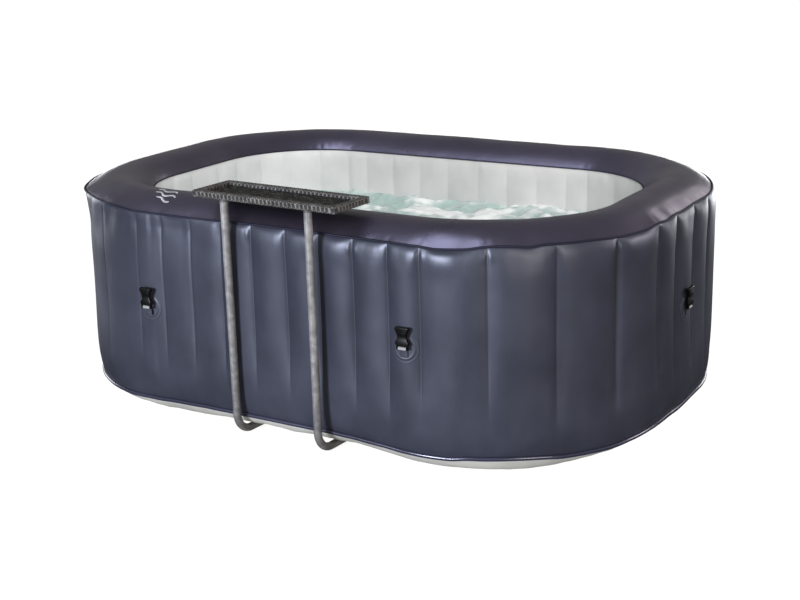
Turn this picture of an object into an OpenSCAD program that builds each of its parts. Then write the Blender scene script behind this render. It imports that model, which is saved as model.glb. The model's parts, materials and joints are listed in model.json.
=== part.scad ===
// Inflatable hot tub with a tray stand.
// Frame: +Z up, X along the tub, -Y the side with the tray stand. Origin: centre of the tub's footprint, on the floor. Millimetres.

/* [Tub] */
// Length over the bulged walls
tub_len = 1860; // [1760:10:2000]
// Width over the bulged walls
tub_wid = 1304; // [1260:4:1400]
// Plan radius of the corners at the bulge
corner_r = 517; // [500:1:540]
// Height of the seam between wall and rim
seam_h = 600; // [580:5:630]
// Rise of the rim's crown above that seam
crown_h = 46; // [36:1:60]
// Thickness of the laminated skins
skin = 2; // [1.5:0.5:2.5]

/* [Tray stand] */
// Length of the tray
tray_len = 476; // [440:4:520]
// Depth of the tray
tray_dep = 152; // [140:4:200]
// Height of the tray's top edge
tray_top = 692; // [685:1:720]
// Diameter of the leg tubes
tube_d = 22; // [19:1:25]
// Distance between the two legs
leg_gap = 280; // [260:5:320]
// Place of the stand along the front wall
stand_x = 24; // [-60:2:60]
// Angle at which the stand is pushed in
stand_yaw = -3; // [-4:0.5:0]

/* [Fittings] */
// Distance of the water ports from the middle of the back wall
port_x = 108.5; // [104:0.5:113]
// Height of the three ports
port_z = 200; // [190:5:230]
// Bore of the water ports
water_bore = 38; // [32:1:40]
// Bore of the air port
air_bore = 28; // [24:1:30]
// Height of the cover buckles' hinge bars
buckle_z = 333; // [300:1:380]
// Place of the four side buckles along the walls
buckle_x = 421; // [400:1:424]

/* [Hidden] */
$fn = 96;
e = 0.3;
R = corner_r;
cx = tub_len / 2 - R;
cy = tub_wid / 2 - R;
zs = seam_h;
zb = 44;
navy = "#3b3f52"; grey = "#d8dad8"; black = "#17181a";

// height at a share k of the way up the outer wall
function zz(k) = zb + k * (zs - zb);
// a path moved sideways by t, to the right of its direction
function off(path, t) = [for (i = [0:len(path) - 1]) let(a = path[max(i - 1, 0)], b = path[min(i + 1, len(path) - 1)], d = b - a) path[i] + t * [d[1], -d[0]] / norm(d)];
function rev(p) = [for (i = [len(p) - 1:-1:0]) p[i]];
function strip(path, t) = concat(path, rev(off(path, t)));

// section paths, as [distance from a corner's centre, height]
wall_path = [[R - 14, zb + 4], [R - 7, zz(.026)], [R - 3, zz(.07)], [R - .6, zz(.16)], [R, zz(.3)], [R, zz(.55)], [R - 1, zz(.72)], [R - 4, zz(.86)], [R - 9, zz(.95)], [R - 17, zs - 4]];
// the rim's sheet is a lens: about 45 degrees at both seams, flat on top
rim_path = [for (a = [0:15:180]) [R - 111 + 94 * cos(a), zs + 4 - 6 * a / 180 + crown_h * (1 - pow(abs(cos(a)), 2.15))]];
liner_path = [[R - 205, zs - 10], [R - 211, zs - 26], [R - 217, zs - 80], [R - 220, zs - 190], [R - 220, 250], [R - 218, 130], [R - 213, 80], [R - 208, 50], [R - 207, 38]];
base_path = [[0, 0], [R - 82, 0], [R - 66, 1.5], [R - 46, 7], [R - 30, 17], [R - 18, 30], [R - 14, 40]];

module wedge(poly, ang) { rotate_extrude(angle = ang, $fn = 128) polygon(poly); }
// a section swept round the tub's rounded-rectangle plan
module ring(poly) {
  for (q = [[1, 1, 0], [-1, 1, 90], [-1, -1, 180], [1, -1, 270]]) translate([q[0] * cx, q[1] * cy, 0]) rotate(q[2]) wedge(poly, 90);
  for (a = [0, 180]) rotate(a) translate([-cx, cy, 0]) rotate([90, 0, 90]) linear_extrude(2 * cx) polygon(poly);
  for (a = [90, -90]) rotate(a) translate([-cy, cx, 0]) rotate([90, 0, 90]) linear_extrude(2 * cy) polygon(poly);
}
module cord(r0, z0, r) {
  for (q = [[1, 1, 0], [-1, 1, 90], [-1, -1, 180], [1, -1, 270]]) translate([q[0] * cx, q[1] * cy, 0]) rotate(q[2]) rotate_extrude(angle = 90, $fn = 128) translate([r0, z0]) circle(r, $fn = 24);
  for (s = [-1, 1]) translate([-cx, s * (cy + r0), z0]) rotate([0, 90, 0]) cylinder(r = r, h = 2 * cx, $fn = 24);
  for (s = [-1, 1]) translate([s * (cx + r0), -cy, z0]) rotate([-90, 0, 0]) cylinder(r = r, h = 2 * cy, $fn = 24);
}
// a flat plate with the tub's plan, r from the corner centres
module plate(r, z0, z1) {
  translate([0, 0, z0]) linear_extrude(z1 - z0) union() {
    square([2 * cx, 2 * (cy + r)], center = true);
    square([2 * (cx + r), 2 * cy], center = true);
    for (x = [-cx, cx], y = [-cy, cy]) translate([x, y]) circle(r, $fn = 128);
  }
}
// local +Z points out through the back wall; local z is the distance from the tub's long centre line
module back(x, z) { translate([x, 0, z]) rotate([-90, 0, 0]) children(); }
module spin(poly, fn = 64) { rotate_extrude($fn = fn) polygon(poly); }
module pipe(r1, r0, y0, y1) { spin([[r0, y0], [r1, y0], [r1, y1], [r0, y1]]); }

yo = cy + R;            // outer face of the back wall
yi = cy + R - 220;      // cavity face of the liner
drain_x = 314; drain_z = 96;
infl_x = -314; infl_z = 430;
wr = water_bore / 2; ar = air_bore / 2;

// ---- tub skins ----
module outer_wall_skin() {
  color(navy) difference() {
    ring(strip(wall_path, -skin));
    for (x = [-port_x, port_x]) back(x, port_z) cylinder(r = wr + 5.4, h = 900);
    back(0, port_z) cylinder(r = ar + 4.4, h = 900);
    back(drain_x, drain_z) cylinder(r = 14.4, h = 900);
    back(infl_x, infl_z) cylinder(r = 20.4, h = 900);
  }
}
module rim_skin() { color(navy) ring(strip(rim_path, -skin)); }
module inner_wall_liner() {
  color(grey) difference() {
    ring(strip(liner_path, -skin));
    for (x = [-port_x, port_x]) back(x, port_z) cylinder(r = wr + 4.4, h = 600);
    back(0, port_z) cylinder(r = ar + 3.9, h = 600);
    back(drain_x, drain_z) cylinder(r = 13.4, h = 600);
  }
}
module floor_liner() { color(grey) plate(R - 217, 32, 32 + skin); }
module floor_foam() { color("#8f9aa0") plate(R - 222, skin + e, 32 - e); }
// the two grooves that the soft base folds into over the stand's runners
module groove(w, h, y1) { for (s = [-1, 1]) translate([s * leg_gap / 2 - w / 2, 10, -1]) cube([w, y1 - 10, h + 1]); }
module base_skin() {
  color(grey) difference() {
    union() {
      ring(strip(base_path, -skin));
      translate([-cx, -cy, 0]) cube([2 * cx, 2 * cy, skin]);
      difference() {
        stand() translate([0, 0, 1]) groove(tube_d + 8, tube_d + 9, 224);
        ring(concat([[R - 120, -20], [R - 120, 0]], [for (i = [1:6]) base_path[i]], [[R + 90, 40], [R + 90, -20]]));
        translate([-600, -900, -20]) cube([1200, 900 - yo + 120, 20]);
      }
    }
    stand() groove(tube_d + 4, tube_d + 7, 222);
  }
}
// upright webs that tie the liner to the outer wall
wt = [for (p = wall_path) [p[1], p[0]]];
lt = [for (p = rev(liner_path)) [p[1], p[0]]];
web_z = [zb + 84, 250, 390, zs - 90, zs - 55];
web_poly = concat([for (z = web_z) [lookup(z, wt) - skin - .7, z]], [for (z = rev(web_z)) [lookup(z, lt) + skin + .7, z]]);
side_webs = [56, 161, 267, 370];
module web() { rotate([90, 0, 0]) linear_extrude(1.6, center = true) polygon(web_poly); }
module wall_webs() {
  color("#c2c6c8") {
    for (s = [0, 180]) rotate(s) for (x = side_webs, m = [-1, 1]) translate([m * x, cy, 0]) rotate(90) web();
    for (s = [0, 180], y = [-68, 68]) rotate(s) translate([cx, y, 0]) web();
    for (q = [[1, 1, 0], [-1, 1, 90], [-1, -1, 180], [1, -1, 270]], i = [-2:2]) translate([q[0] * cx, q[1] * cy, 0]) rotate(q[2] + 45 + i * 19.8) web();
  }
}
module top_seam_piping() { color("#1f2233") cord(R - 15.5, zs, 3.6); }
module bottom_seam_piping() { color("#1f2233") cord(R - 12.5, zb, 3.6); }
module inner_rim_piping() { color("#1f2233") cord(R - 206.5, zs - 6, 3); }

// ---- bubble ring and its duct ----
module bubble_ring() {
  ro = R - 221.5;
  color("#c9ced0") difference() {
    ring([[ro - 34, 34.4], [ro, 34.4], [ro, 50], [ro - 6, 58], [ro - 26, 58], [ro - 34, 50]]);
    ring([[ro - 32, 36.4], [ro - 2, 36.4], [ro - 2, 49.4], [ro - 7, 56], [ro - 25, 56], [ro - 32, 49.4]]);
    for (s = [-1, 1], i = [-5:5]) if (s < 0 || i != 0) translate([i * 75, s * (cy + ro - 16), 50]) cylinder(r = 2, h = 20, $fn = 24);
    for (s = [-1, 1], y = [-75, 0, 75]) translate([s * (cx + ro - 16), y, 50]) cylinder(r = 2, h = 20, $fn = 24);
    for (q = [[1, 1, 0], [-1, 1, 90], [-1, -1, 180], [1, -1, 270]], i = [-2:2]) translate([q[0] * cx, q[1] * cy, 0]) rotate(q[2] + 45 + i * 17) translate([ro - 16, 0, 50]) cylinder(r = 2, h = 20, $fn = 24);
    translate([-15, cy + ro - 22, 50]) cube([30, 12, 20]);
  }
}
module air_duct() {
  color("#c9ced0") difference() {
    translate([-28, yi - 27, 58 + e]) cube([56, 19, port_z - 26]);
    translate([-25, yi - 24, 50]) cube([50, 13, port_z - 21]);
    back(0, port_z) translate([0, 0, yi - 18]) cylinder(r = ar + 3.8, h = 40);
  }
}

// ---- ports for the heater and blower unit, on the back wall ----
module port(r, nose) {
  spin([[r, yi - 20], [r + 4, yi - 20], [r + 4, yo - 2], [r + 5, yo - 2], [r + 5, yo + 2.6], [r + 27, yo + 2.6], [r + 27, yo + 7], [r + 5, yo + 7], [r + 5, yo + 7 + nose], [r, yo + 7 + nose]], 96);
}
module water_outlet_port() { color("#b9bec2") back(-port_x, port_z) port(wr, 35); }
module water_inlet_port() { color("#b9bec2") back(port_x, port_z) port(wr, 35); }
module air_port() {
  color("#b9bec2") back(0, port_z) spin([[ar, yi - 16], [ar + 3.5, yi - 16], [ar + 3.5, yo - 2], [ar + 4, yo - 2], [ar + 4, yo + 2.6], [ar + 18, yo + 2.6], [ar + 18, yo + 7], [ar + 4, yo + 7], [ar + 4, yo + 37], [ar, yo + 37]], 96);
}
module port_lock_nuts() {
  color("#b9bec2") {
    for (x = [-port_x, port_x]) back(x, port_z) pipe(wr + 25, wr + 4.3, yi - 7, yi - 2.4);
    back(0, port_z) pipe(ar + 16, ar + 3.8, yi - 7, yi - 2.4);
  }
}
module port_gaskets() {
  color("#2a2c30") {
    for (x = [-port_x, port_x]) back(x, port_z) { pipe(wr + 24, wr + 4.3, yi - 2.2, yi - e); pipe(wr + 25, wr + 5.3, yo + .4, yo + 2.4); }
    back(0, port_z) { pipe(ar + 15, ar + 3.8, yi - 2.2, yi - e); pipe(ar + 16, ar + 4.3, yo + .4, yo + 2.4); }
  }
}
module outlet_diffuser() {
  color("#b9bec2") back(-port_x, port_z) difference() {
    spin([[wr + 4.3, yi - 8.5], [42, yi - 8.5], [42, yi - 14], [33, yi - 30], [0, yi - 36], [0, yi - 33], [wr + 4, yi - 28], [wr + 4.3, yi - 18]]);
    for (a = [0:30:150]) rotate(a) translate([-24, -1.6, yi - 40]) cube([48, 3.2, 14]);
  }
}

// ---- filter, inside the tub on the inlet port ----
module filter_base() {
  color("#b9bec2") back(port_x, port_z) spin([[wr, yi - 26], [57, yi - 26], [57, yi - 22], [wr + 8, yi - 22], [wr + 8, yi - 8], [wr + 4.3, yi - 8], [wr + 4.3, yi - 21], [wr, yi - 21]]);
}
module filter_cartridge() {
  color("#eef0ee") back(port_x, port_z) spin([[23, yi - 126], [52, yi - 126], [52, yi - 121], [48, yi - 121], [48, yi - 33], [52, yi - 33], [52, yi - 28], [23, yi - 28]]);
}
module filter_cage() {
  color("#b9bec2") back(port_x, port_z) difference() {
    spin([[0, yi - 132], [50, yi - 132], [58, yi - 126], [61, yi - 126], [61, yi - 21.5], [57.4, yi - 21.5], [57.4, yi - 27], [55.4, yi - 27], [55.4, yi - 126.6], [0, yi - 128]]);
    for (a = [0:30:330]) rotate(a) translate([50, -6, yi - 116]) cube([20, 12, 76]);
    for (a = [0:60:120]) rotate(a) translate([-38, -2.5, yi - 140]) cube([76, 5, 20]);
  }
}

// ---- drain valve ----
module drain_valve_body() {
  color(black) back(drain_x, drain_z) spin([[10, yi - 8], [13, yi - 8], [13, yo - 2], [14, yo - 2], [14, yo + .6], [27, yo + .6], [27, yo + 4], [14, yo + 4], [14, yo + 20], [10, yo + 20]]);
}
module drain_lock_nut() { color(black) back(drain_x, drain_z) pipe(24, 13.3, yi - 4.5, yi - e); }
module drain_cap() {
  color(black) back(drain_x, drain_z) difference() {
    union() {
      spin([[14.4, yo + 6], [19, yo + 6], [19, yo + 23], [8, yo + 25], [8, yo + 27.6], [13, yo + 27.6], [13, yo + 31], [0, yo + 31], [0, yo + 22], [14.4, yo + 22]]);
      for (a = [0:30:330]) rotate(a) translate([18.6, 0, yo + 8]) cylinder(r = 1.6, h = 13, $fn = 24);
    }
  }
}
module drain_cap_seal() { color("#2a2c30") back(drain_x, drain_z) translate([0, 0, yo + 20.3]) cylinder(r = 13.9, h = 1.5); }
module drain_cap_tether() {
  color(black) back(drain_x, drain_z) difference() {
    union() {
      translate([0, 0, yo + 25.4]) cylinder(r = 13, h = 1.8);
      translate([-36, -4, yo + 25.4]) cube([32, 8, 1.8]);
      translate([-36, -4, yo + 5]) cube([1.8, 8, 22.2]);
      translate([-36, -4, yo + 5]) cube([9, 8, 1.8]);
    }
    translate([0, 0, yo + 20]) cylinder(r = 8.4, h = 12);
  }
}

// ---- inflation valve ----
module inflation_valve_body() {
  color(black) back(infl_x, infl_z) difference() {
    spin([[3.3, yo - 30], [20, yo - 30], [20, yo + .6], [27, yo + .6], [27, yo + 3.4], [16, yo + 3.4], [16, yo - 27], [3.3, yo - 27]]);
    for (a = [0:120:240]) rotate(a + 20) translate([6, -4, yo - 34]) cube([7.5, 8, 10]);
  }
}
module inflation_valve_stem() {
  color("#d9dbdc") back(infl_x, infl_z) spin([[0, yo - 37], [15, yo - 37], [15, yo - 34.4], [3, yo - 33.8], [3, yo - 7], [8, yo - 7], [8, yo - 4.6], [0, yo - 4]], 48);
}
module inflation_valve_seal() { color("#2a2c30") back(infl_x, infl_z) pipe(18, 4.4, yo - 33.6, yo - 30.2); }
// close-coiled return spring round the stem
spring_n = 6; spring_r = 5.4; wire_r = .7; spring_y0 = yo - 26.2; spring_h = 18;
function helix(t) = [spring_r * cos(360 * t * spring_n), spring_r * sin(360 * t * spring_n), spring_y0 + wire_r + t * (spring_h - 2 * wire_r)];
module inflation_valve_spring() {
  steps = spring_n * 16; k = 6;
  pts = [for (i = [0:steps]) let(t = i / steps, c = helix(t), a = 360 * t * spring_n) for (j = [0:k - 1]) c + wire_r * [cos(a) * cos(360 * j / k), sin(a) * cos(360 * j / k), sin(360 * j / k)]];
  faces = concat([[for (j = [0:k - 1]) j]], [for (i = [0:steps - 1], j = [0:k - 1]) [i * k + j, (i + 1) * k + j, (i + 1) * k + (j + 1) % k, i * k + (j + 1) % k]], [[for (j = [k - 1:-1:0]) steps * k + j]]);
  color("#c8cacc") back(infl_x, infl_z) polyhedron(pts, faces, convexity = 10);
}
module inflation_cap() {
  color(black) back(infl_x, infl_z) union() {
    spin([[13, yo - 3], [15.6, yo - 3], [15.6, yo + 4.6], [12, yo + 4.6], [12, yo + 7.4], [23, yo + 7.4], [23, yo + 11], [0, yo + 11], [0, yo + 7.4], [10, yo + 5], [13, yo + 2]]);
    translate([-16, -3, yo + 10.5]) cube([32, 6, 8]);
  }
}
module inflation_cap_tether() {
  color(black) back(infl_x, infl_z) difference() {
    union() {
      translate([0, 0, yo + 5.2]) cylinder(r = 18, h = 1.6);
      translate([-46, -4, yo + 5.2]) cube([32, 8, 1.6]);
      translate([-46, 0, yo + 5.2]) cylinder(r = 7, h = 1.6);
    }
    translate([0, 0, yo]) cylinder(r = 12.4, h = 12);
  }
}

// ---- cover buckles: local +Y points out of the wall, local y is the distance from the corner centres ----
hinge_y = R + 8.6;
places = [["buckle_front_left", -buckle_x, -cy, 180], ["buckle_front_right", buckle_x, -cy, 180], ["buckle_right_end", cx, 0, -90], ["buckle_left_end", -cx, 0, 90], ["buckle_back_left", -buckle_x, cy, 0], ["buckle_back_right", buckle_x, cy, 0]];
module at(i) { translate([places[i][1], places[i][2], buckle_z]) rotate(places[i][3]) children(); }
module buckle_patches() {
  color("#34384a") for (i = [0:5]) at(i) translate([0, R + .2, -2]) rotate([-90, 0, 0]) { cylinder(r = 39, h = 1, $fn = 64); cylinder(r = 30, h = 2, $fn = 64); }
}
module webbing_loops() {
  color("#1b1c1f") for (i = [0:5]) at(i) difference() {
    union() {
      translate([-12, hinge_y, 0]) rotate([0, 90, 0]) cylinder(r = 4.6, h = 24, $fn = 48);
      translate([-12, R + 2.4, -26]) cube([24, 2.6, 27]);
    }
    translate([-13, hinge_y, 0]) rotate([0, 90, 0]) cylinder(r = 3.3, h = 26, $fn = 48);
  }
}
buckle_half = [[12.6, -3], [16.4, -3], [19, 8], [20, 14], [15, 24], [13.6, 32], [16.4, 42], [20.4, 50], [19.4, 56]];
module buckle() {
  translate([0, hinge_y, 0]) {
    rotate([0, 90, 0]) translate([0, 0, -15]) cylinder(r = 2.6, h = 30, $fn = 48);
    difference() {
      rotate([90, 0, 0]) linear_extrude(11, center = true) polygon(concat(buckle_half, [for (p = rev(buckle_half)) [-p[0], p[1]]]));
      translate([-16, -3.4, 20]) cube([32, 6.8, 50]);
      translate([-12.6, -10, -10]) cube([25.2, 20, 18]);
    }
  }
}
module buckle_n(i) { color(black) at(i) buckle(); }

// ---- tray stand: local origin between the legs at floor level, local +Y towards the tub ----
tr = tube_d / 2; bend = 55;
module stand() { translate([stand_x, -(yo + 4.5 + tr) - leg_gap / 2 * sin(-stand_yaw), 0]) rotate(stand_yaw) children(); }
tray_b = tray_top - 20; front = -16; arm_t = 5;
module leg_solid(r, over) {
  translate([0, 0, bend + tr]) cylinder(r = r, h = tray_b - arm_t - 2 * e - bend - tr + over, $fn = 48);
  translate([0, bend, bend + tr]) rotate([-90, 0, -90]) rotate_extrude(angle = 90, $fn = 96) translate([bend, 0]) circle(r, $fn = 48);
  translate([0, bend, tr]) rotate([-90, 0, 0]) cylinder(r = r, h = 160 + over, $fn = 48);
}
module leg(s) { color("#a9abac") stand() translate([s * leg_gap / 2, 0, 0]) difference() { leg_solid(tr, 0); leg_solid(tr - 1.5, 1); } }
module leg_top_inserts() {
  color(black) stand() for (s = [-1, 1]) translate([s * leg_gap / 2, 0, tray_b - 40]) difference() { cylinder(r = tr - 1.7, h = 40 - arm_t - 2 * e, $fn = 48); translate([0, 0, -1]) cylinder(r = 3.2, h = 60, $fn = 32); }
}
module leg_end_caps() {
  color(black) stand() for (s = [-1, 1]) translate([s * leg_gap / 2, bend + 160 + .1, tr]) rotate([-90, 0, 0]) { cylinder(r = tr, h = 3, $fn = 48); translate([0, 0, -14]) cylinder(r = tr - 1.7, h = 15, $fn = 48); }
}
module tray_frame() {
  color("#55575a") stand() difference() {
    translate([-tray_len / 2, front, tray_b]) cube([tray_len, tray_dep, 20]);
    translate([-tray_len / 2 + 24, front + 24, tray_b - 1]) cube([tray_len - 48, tray_dep - 48, 30]);
    translate([-tray_len / 2 + 18, front + 18, tray_b + 7]) cube([tray_len - 36, tray_dep - 36, 30]);
    for (s = [-1, 1]) translate([s * leg_gap / 2, 0, tray_b - 1]) { cylinder(r = 3.2, h = 30, $fn = 32); translate([0, 0, 12]) cylinder(r = 6, h = 30, $fn = 32); }
    for (s = [-1, 1]) translate([s * leg_gap / 2, front + tray_dep - 9, tray_b - 1]) cylinder(r = 2.2, h = 14, $fn = 32);
  }
}
module tray_floor() {
  color("#4a4b4e") stand() difference() {
    translate([-tray_len / 2 + 18 + e, front + 18 + e, tray_b + 7 + e / 2]) cube([tray_len - 36 - 2 * e, tray_dep - 36 - 2 * e, 3]);
    for (s = [-1, 1]) translate([s * leg_gap / 2, 0, tray_b]) cylinder(r = 3.6, h = 20, $fn = 32);
  }
}
module tray_arms() {
  color("#6b6d6f") stand() for (s = [-1, 1]) translate([s * leg_gap / 2, 0, tray_b - arm_t - e]) difference() {
    union() {
      cylinder(r = tr, h = arm_t, $fn = 48);
      translate([-tr, 0, 0]) cube([2 * tr, front + tray_dep - 2, arm_t]);
    }
    translate([0, 0, -1]) cylinder(r = 3.2, h = 20, $fn = 32);
    translate([0, front + tray_dep - 9, -1]) cylinder(r = 2.6, h = 20, $fn = 32);
  }
}
module tray_screws() {
  color("#c8cacc") stand() for (s = [-1, 1]) {
    translate([s * leg_gap / 2, 0, tray_b - 30]) { cylinder(r = 3, h = 42, $fn = 32); translate([0, 0, 41.1]) cylinder(r = 5.6, h = 4, $fn = 32); }
    translate([s * leg_gap / 2, front + tray_dep - 9, tray_b - arm_t - 3.6]) { cylinder(r = 4.4, h = 3, $fn = 32); cylinder(r = 2, h = 18, $fn = 32); }
  }
}

outer_wall_skin();
rim_skin();
inner_wall_liner();
floor_liner();
floor_foam();
base_skin();
wall_webs();
top_seam_piping();
bottom_seam_piping();
inner_rim_piping();
bubble_ring();
air_duct();
water_outlet_port();
water_inlet_port();
air_port();
port_lock_nuts();
port_gaskets();
outlet_diffuser();
filter_base();
filter_cage();
filter_cartridge();
drain_valve_body();
drain_lock_nut();
drain_cap_tether();
drain_cap();
drain_cap_seal();
inflation_valve_body();
inflation_valve_stem();
inflation_valve_seal();
inflation_valve_spring();
inflation_cap_tether();
inflation_cap();
buckle_patches();
webbing_loops();
buckle_n(0);  // buckle_front_left
buckle_n(1);  // buckle_front_right
buckle_n(2);  // buckle_right_end
buckle_n(3);  // buckle_left_end
buckle_n(4);  // buckle_back_left
buckle_n(5);  // buckle_back_right
tray_frame();
tray_floor();
tray_arms();
tray_screws();
leg(-1);  // leg_tube_left
leg(1);  // leg_tube_right
leg_top_inserts();
leg_end_caps();
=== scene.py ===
import json
import math

import bpy
import numpy as np
from mathutils import Matrix, Vector

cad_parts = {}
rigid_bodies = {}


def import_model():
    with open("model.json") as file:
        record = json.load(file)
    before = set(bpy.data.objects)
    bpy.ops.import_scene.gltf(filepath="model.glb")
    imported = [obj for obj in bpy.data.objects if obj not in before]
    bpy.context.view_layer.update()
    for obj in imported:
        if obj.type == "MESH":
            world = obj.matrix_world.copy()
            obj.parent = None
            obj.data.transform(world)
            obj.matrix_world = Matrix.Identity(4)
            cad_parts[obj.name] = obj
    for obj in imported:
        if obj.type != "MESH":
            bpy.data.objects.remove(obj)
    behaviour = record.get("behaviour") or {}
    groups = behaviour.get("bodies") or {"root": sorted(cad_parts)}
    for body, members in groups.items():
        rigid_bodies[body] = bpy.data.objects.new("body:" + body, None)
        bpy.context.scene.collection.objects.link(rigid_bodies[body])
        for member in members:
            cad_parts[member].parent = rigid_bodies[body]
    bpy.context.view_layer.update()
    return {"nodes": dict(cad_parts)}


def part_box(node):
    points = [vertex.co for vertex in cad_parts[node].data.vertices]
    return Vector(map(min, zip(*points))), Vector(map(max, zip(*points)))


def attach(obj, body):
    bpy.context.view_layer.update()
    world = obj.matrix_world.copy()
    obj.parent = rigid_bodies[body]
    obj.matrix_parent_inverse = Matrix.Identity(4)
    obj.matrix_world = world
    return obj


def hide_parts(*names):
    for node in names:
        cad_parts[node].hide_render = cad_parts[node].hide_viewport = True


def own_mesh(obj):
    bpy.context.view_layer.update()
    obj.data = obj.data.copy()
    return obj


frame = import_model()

NODES = frame["nodes"]
rng = np.random.default_rng(7)

# ------------------------------------------------------------------ camera
AZ, EL, ROLL = 0.5485379, 0.2843854, -0.0280753
back = Vector((math.sin(AZ) * math.cos(EL), -math.cos(AZ) * math.cos(EL), math.sin(EL)))
right = Vector((0, 0, 1)).cross(back).normalized()
up = back.cross(right)
r2 = right * math.cos(ROLL) + up * math.sin(ROLL)
u2 = -right * math.sin(ROLL) + up * math.cos(ROLL)
cam_data = bpy.data.cameras.new("camera")
cam_data.sensor_width = 36.0
cam_data.lens = 1405.87 / 800 * 36.0
cam_data.clip_end = 200
cam = bpy.data.objects.new("camera", cam_data)
cam.matrix_world = Matrix(((r2.x, u2.x, back.x, 2.17864), (r2.y, u2.y, back.y, -3.54197), (r2.z, u2.z, back.z, 1.44763), (0, 0, 0, 1)))
bpy.context.scene.collection.objects.link(cam)
bpy.context.scene.camera = cam
bpy.context.scene.view_settings.view_transform = "Standard"

# ------------------------------------------------------------------ noise, in numpy, so that each run gives the same result
_perm = rng.permutation(512)


def _h(ix, iy, iz):
    return _perm[(_perm[(_perm[ix & 511] + iy) & 511] + iz) & 511] / 511.0 * 2 - 1


def vnoise(x, y, z):
    """Smooth value noise from -1 to 1."""
    x, y, z = np.broadcast_arrays(np.asarray(x, float), np.asarray(y, float), np.asarray(z, float))
    ix, iy, iz = np.floor(x).astype(int), np.floor(y).astype(int), np.floor(z).astype(int)
    fx, fy, fz = x - ix, y - iy, z - iz
    fx, fy, fz = (f * f * f * (f * (f * 6 - 15) + 10) for f in (fx, fy, fz))
    out = 0
    for dx in (0, 1):
        for dy in (0, 1):
            for dz in (0, 1):
                w = (fx if dx else 1 - fx) * (fy if dy else 1 - fy) * (fz if dz else 1 - fz)
                out = out + w * _h(ix + dx, iy + dy, iz + dz)
    return out


def fbm(x, y, z, octaves=3):
    out, a, f, n = 0, 1.0, 1.0, 0
    for k in range(octaves):
        out = out + a * vnoise(x * f + 17.3 * k, y * f - 9.1 * k, z * f + 5.7 * k)
        n += a
        a *= 0.5
        f *= 2.03
    return out / n


def smooth(a, b, x):
    t = np.clip((np.asarray(x, float) - a) / (b - a), 0, 1)
    return t * t * (3 - 2 * t)


def pchip(xs, ys, x):
    """Monotone cubic through the points, in numpy."""
    xs, ys, x = np.asarray(xs, float), np.asarray(ys, float), np.asarray(x, float)
    h = np.diff(xs)
    d = np.diff(ys) / h
    m = np.zeros(len(xs))
    for i in range(1, len(xs) - 1):
        if d[i - 1] * d[i] > 0:
            w1, w2 = 2 * h[i] + h[i - 1], h[i] + 2 * h[i - 1]
            m[i] = (w1 + w2) / (w1 / d[i - 1] + w2 / d[i])
    m[0], m[-1] = d[0], d[-1]
    i = np.clip(np.searchsorted(xs, x) - 1, 0, len(xs) - 2)
    t = np.clip((x - xs[i]) / h[i], 0, 1)
    return (ys[i] * (1 + 2 * t) * (1 - t) ** 2 + ys[i + 1] * t * t * (3 - 2 * t)
            + h[i] * (m[i] * t * (1 - t) ** 2 + m[i + 1] * t * t * (t - 1)))


# ------------------------------------------------------------------ meshes
def new_mesh(name, verts, faces, smooth_shade=True):
    me = bpy.data.meshes.new(name)
    me.from_pydata([tuple(v) for v in np.asarray(verts).tolist()], [], [tuple(f) for f in faces])
    me.validate()
    me.update()
    if smooth_shade:
        me.polygons.foreach_set("use_smooth", [True] * len(me.polygons))
    ob = bpy.data.objects.new(name, me)
    bpy.context.scene.collection.objects.link(ob)
    return ob


def grid_faces(nu, nv, closed_u=True, closed_v=True, base=0, flip=False):
    """Quads of a grid: u is the slow index (nu columns), v the fast one (nv rows)."""
    u = np.arange(nu if closed_u else nu - 1)
    v = np.arange(nv if closed_v else nv - 1)
    U, V = np.meshgrid(u, v, indexing="ij")
    U2, V2 = (U + 1) % nu, (V + 1) % nv
    q = np.stack([U * nv + V, U2 * nv + V, U2 * nv + V2, U * nv + V2], -1).reshape(-1, 4) + base
    return q[:, ::-1] if flip else q


def put(ob, mat, body, replaces=()):
    ob.data.materials.clear()
    ob.data.materials.append(mat)
    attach(ob, body)
    if replaces:
        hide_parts(*replaces)
    return ob


class Builder:
    """Collects closed islands into one mesh."""

    def __init__(self):
        self.v, self.f, self.n = [], [], 0

    def add(self, verts, faces):
        verts = np.asarray(verts, float).reshape(-1, 3)
        self.v.append(verts)
        self.f.extend([tuple(int(i) + self.n for i in f) for f in faces])
        self.n += len(verts)

    def make(self, name, smooth_shade=True):
        return new_mesh(name, np.concatenate(self.v), self.f, smooth_shade)


def loft(rings, cap_start=True, cap_end=True):
    """Closed loft through rings of the same number of points."""
    rings = np.asarray(rings, float)
    n, k = rings.shape[:2]
    faces = [tuple(q) for q in grid_faces(n, k, False, True).tolist()]
    if cap_start:
        faces.append(tuple(range(k)))
    if cap_end:
        faces.append(tuple(range((n - 1) * k, n * k))[::-1])
    return rings.reshape(-1, 3), faces


def rrect(hw, hh, r, n=6):
    """Rounded rectangle, 4(n+1) points, counter-clockwise."""
    r = min(r, hw - 1e-6, hh - 1e-6)
    out = []
    for sx, sy, a0 in ((1, 1, 0), (-1, 1, 90), (-1, -1, 180), (1, -1, 270)):
        for i in range(n + 1):
            a = math.radians(a0 + 90 * i / n)
            out.append((sx * (hw - r) + r * math.cos(a), sy * (hh - r) + r * math.sin(a)))
    return np.array(out)


# ------------------------------------------------------------------ materials
def principled(name, base, rough, **sockets):
    m = bpy.data.materials.new(name)
    m.use_nodes = True
    nt = m.node_tree
    b = nt.nodes["Principled BSDF"]
    b.inputs["Base Color"].default_value = (*base, 1)
    b.inputs["Roughness"].default_value = rough
    for k, v in sockets.items():
        s = b.inputs[k.replace("_", " ")]
        s.default_value = (*v, 1) if isinstance(v, tuple) and len(v) == 3 else v
    return m, nt, b


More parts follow.
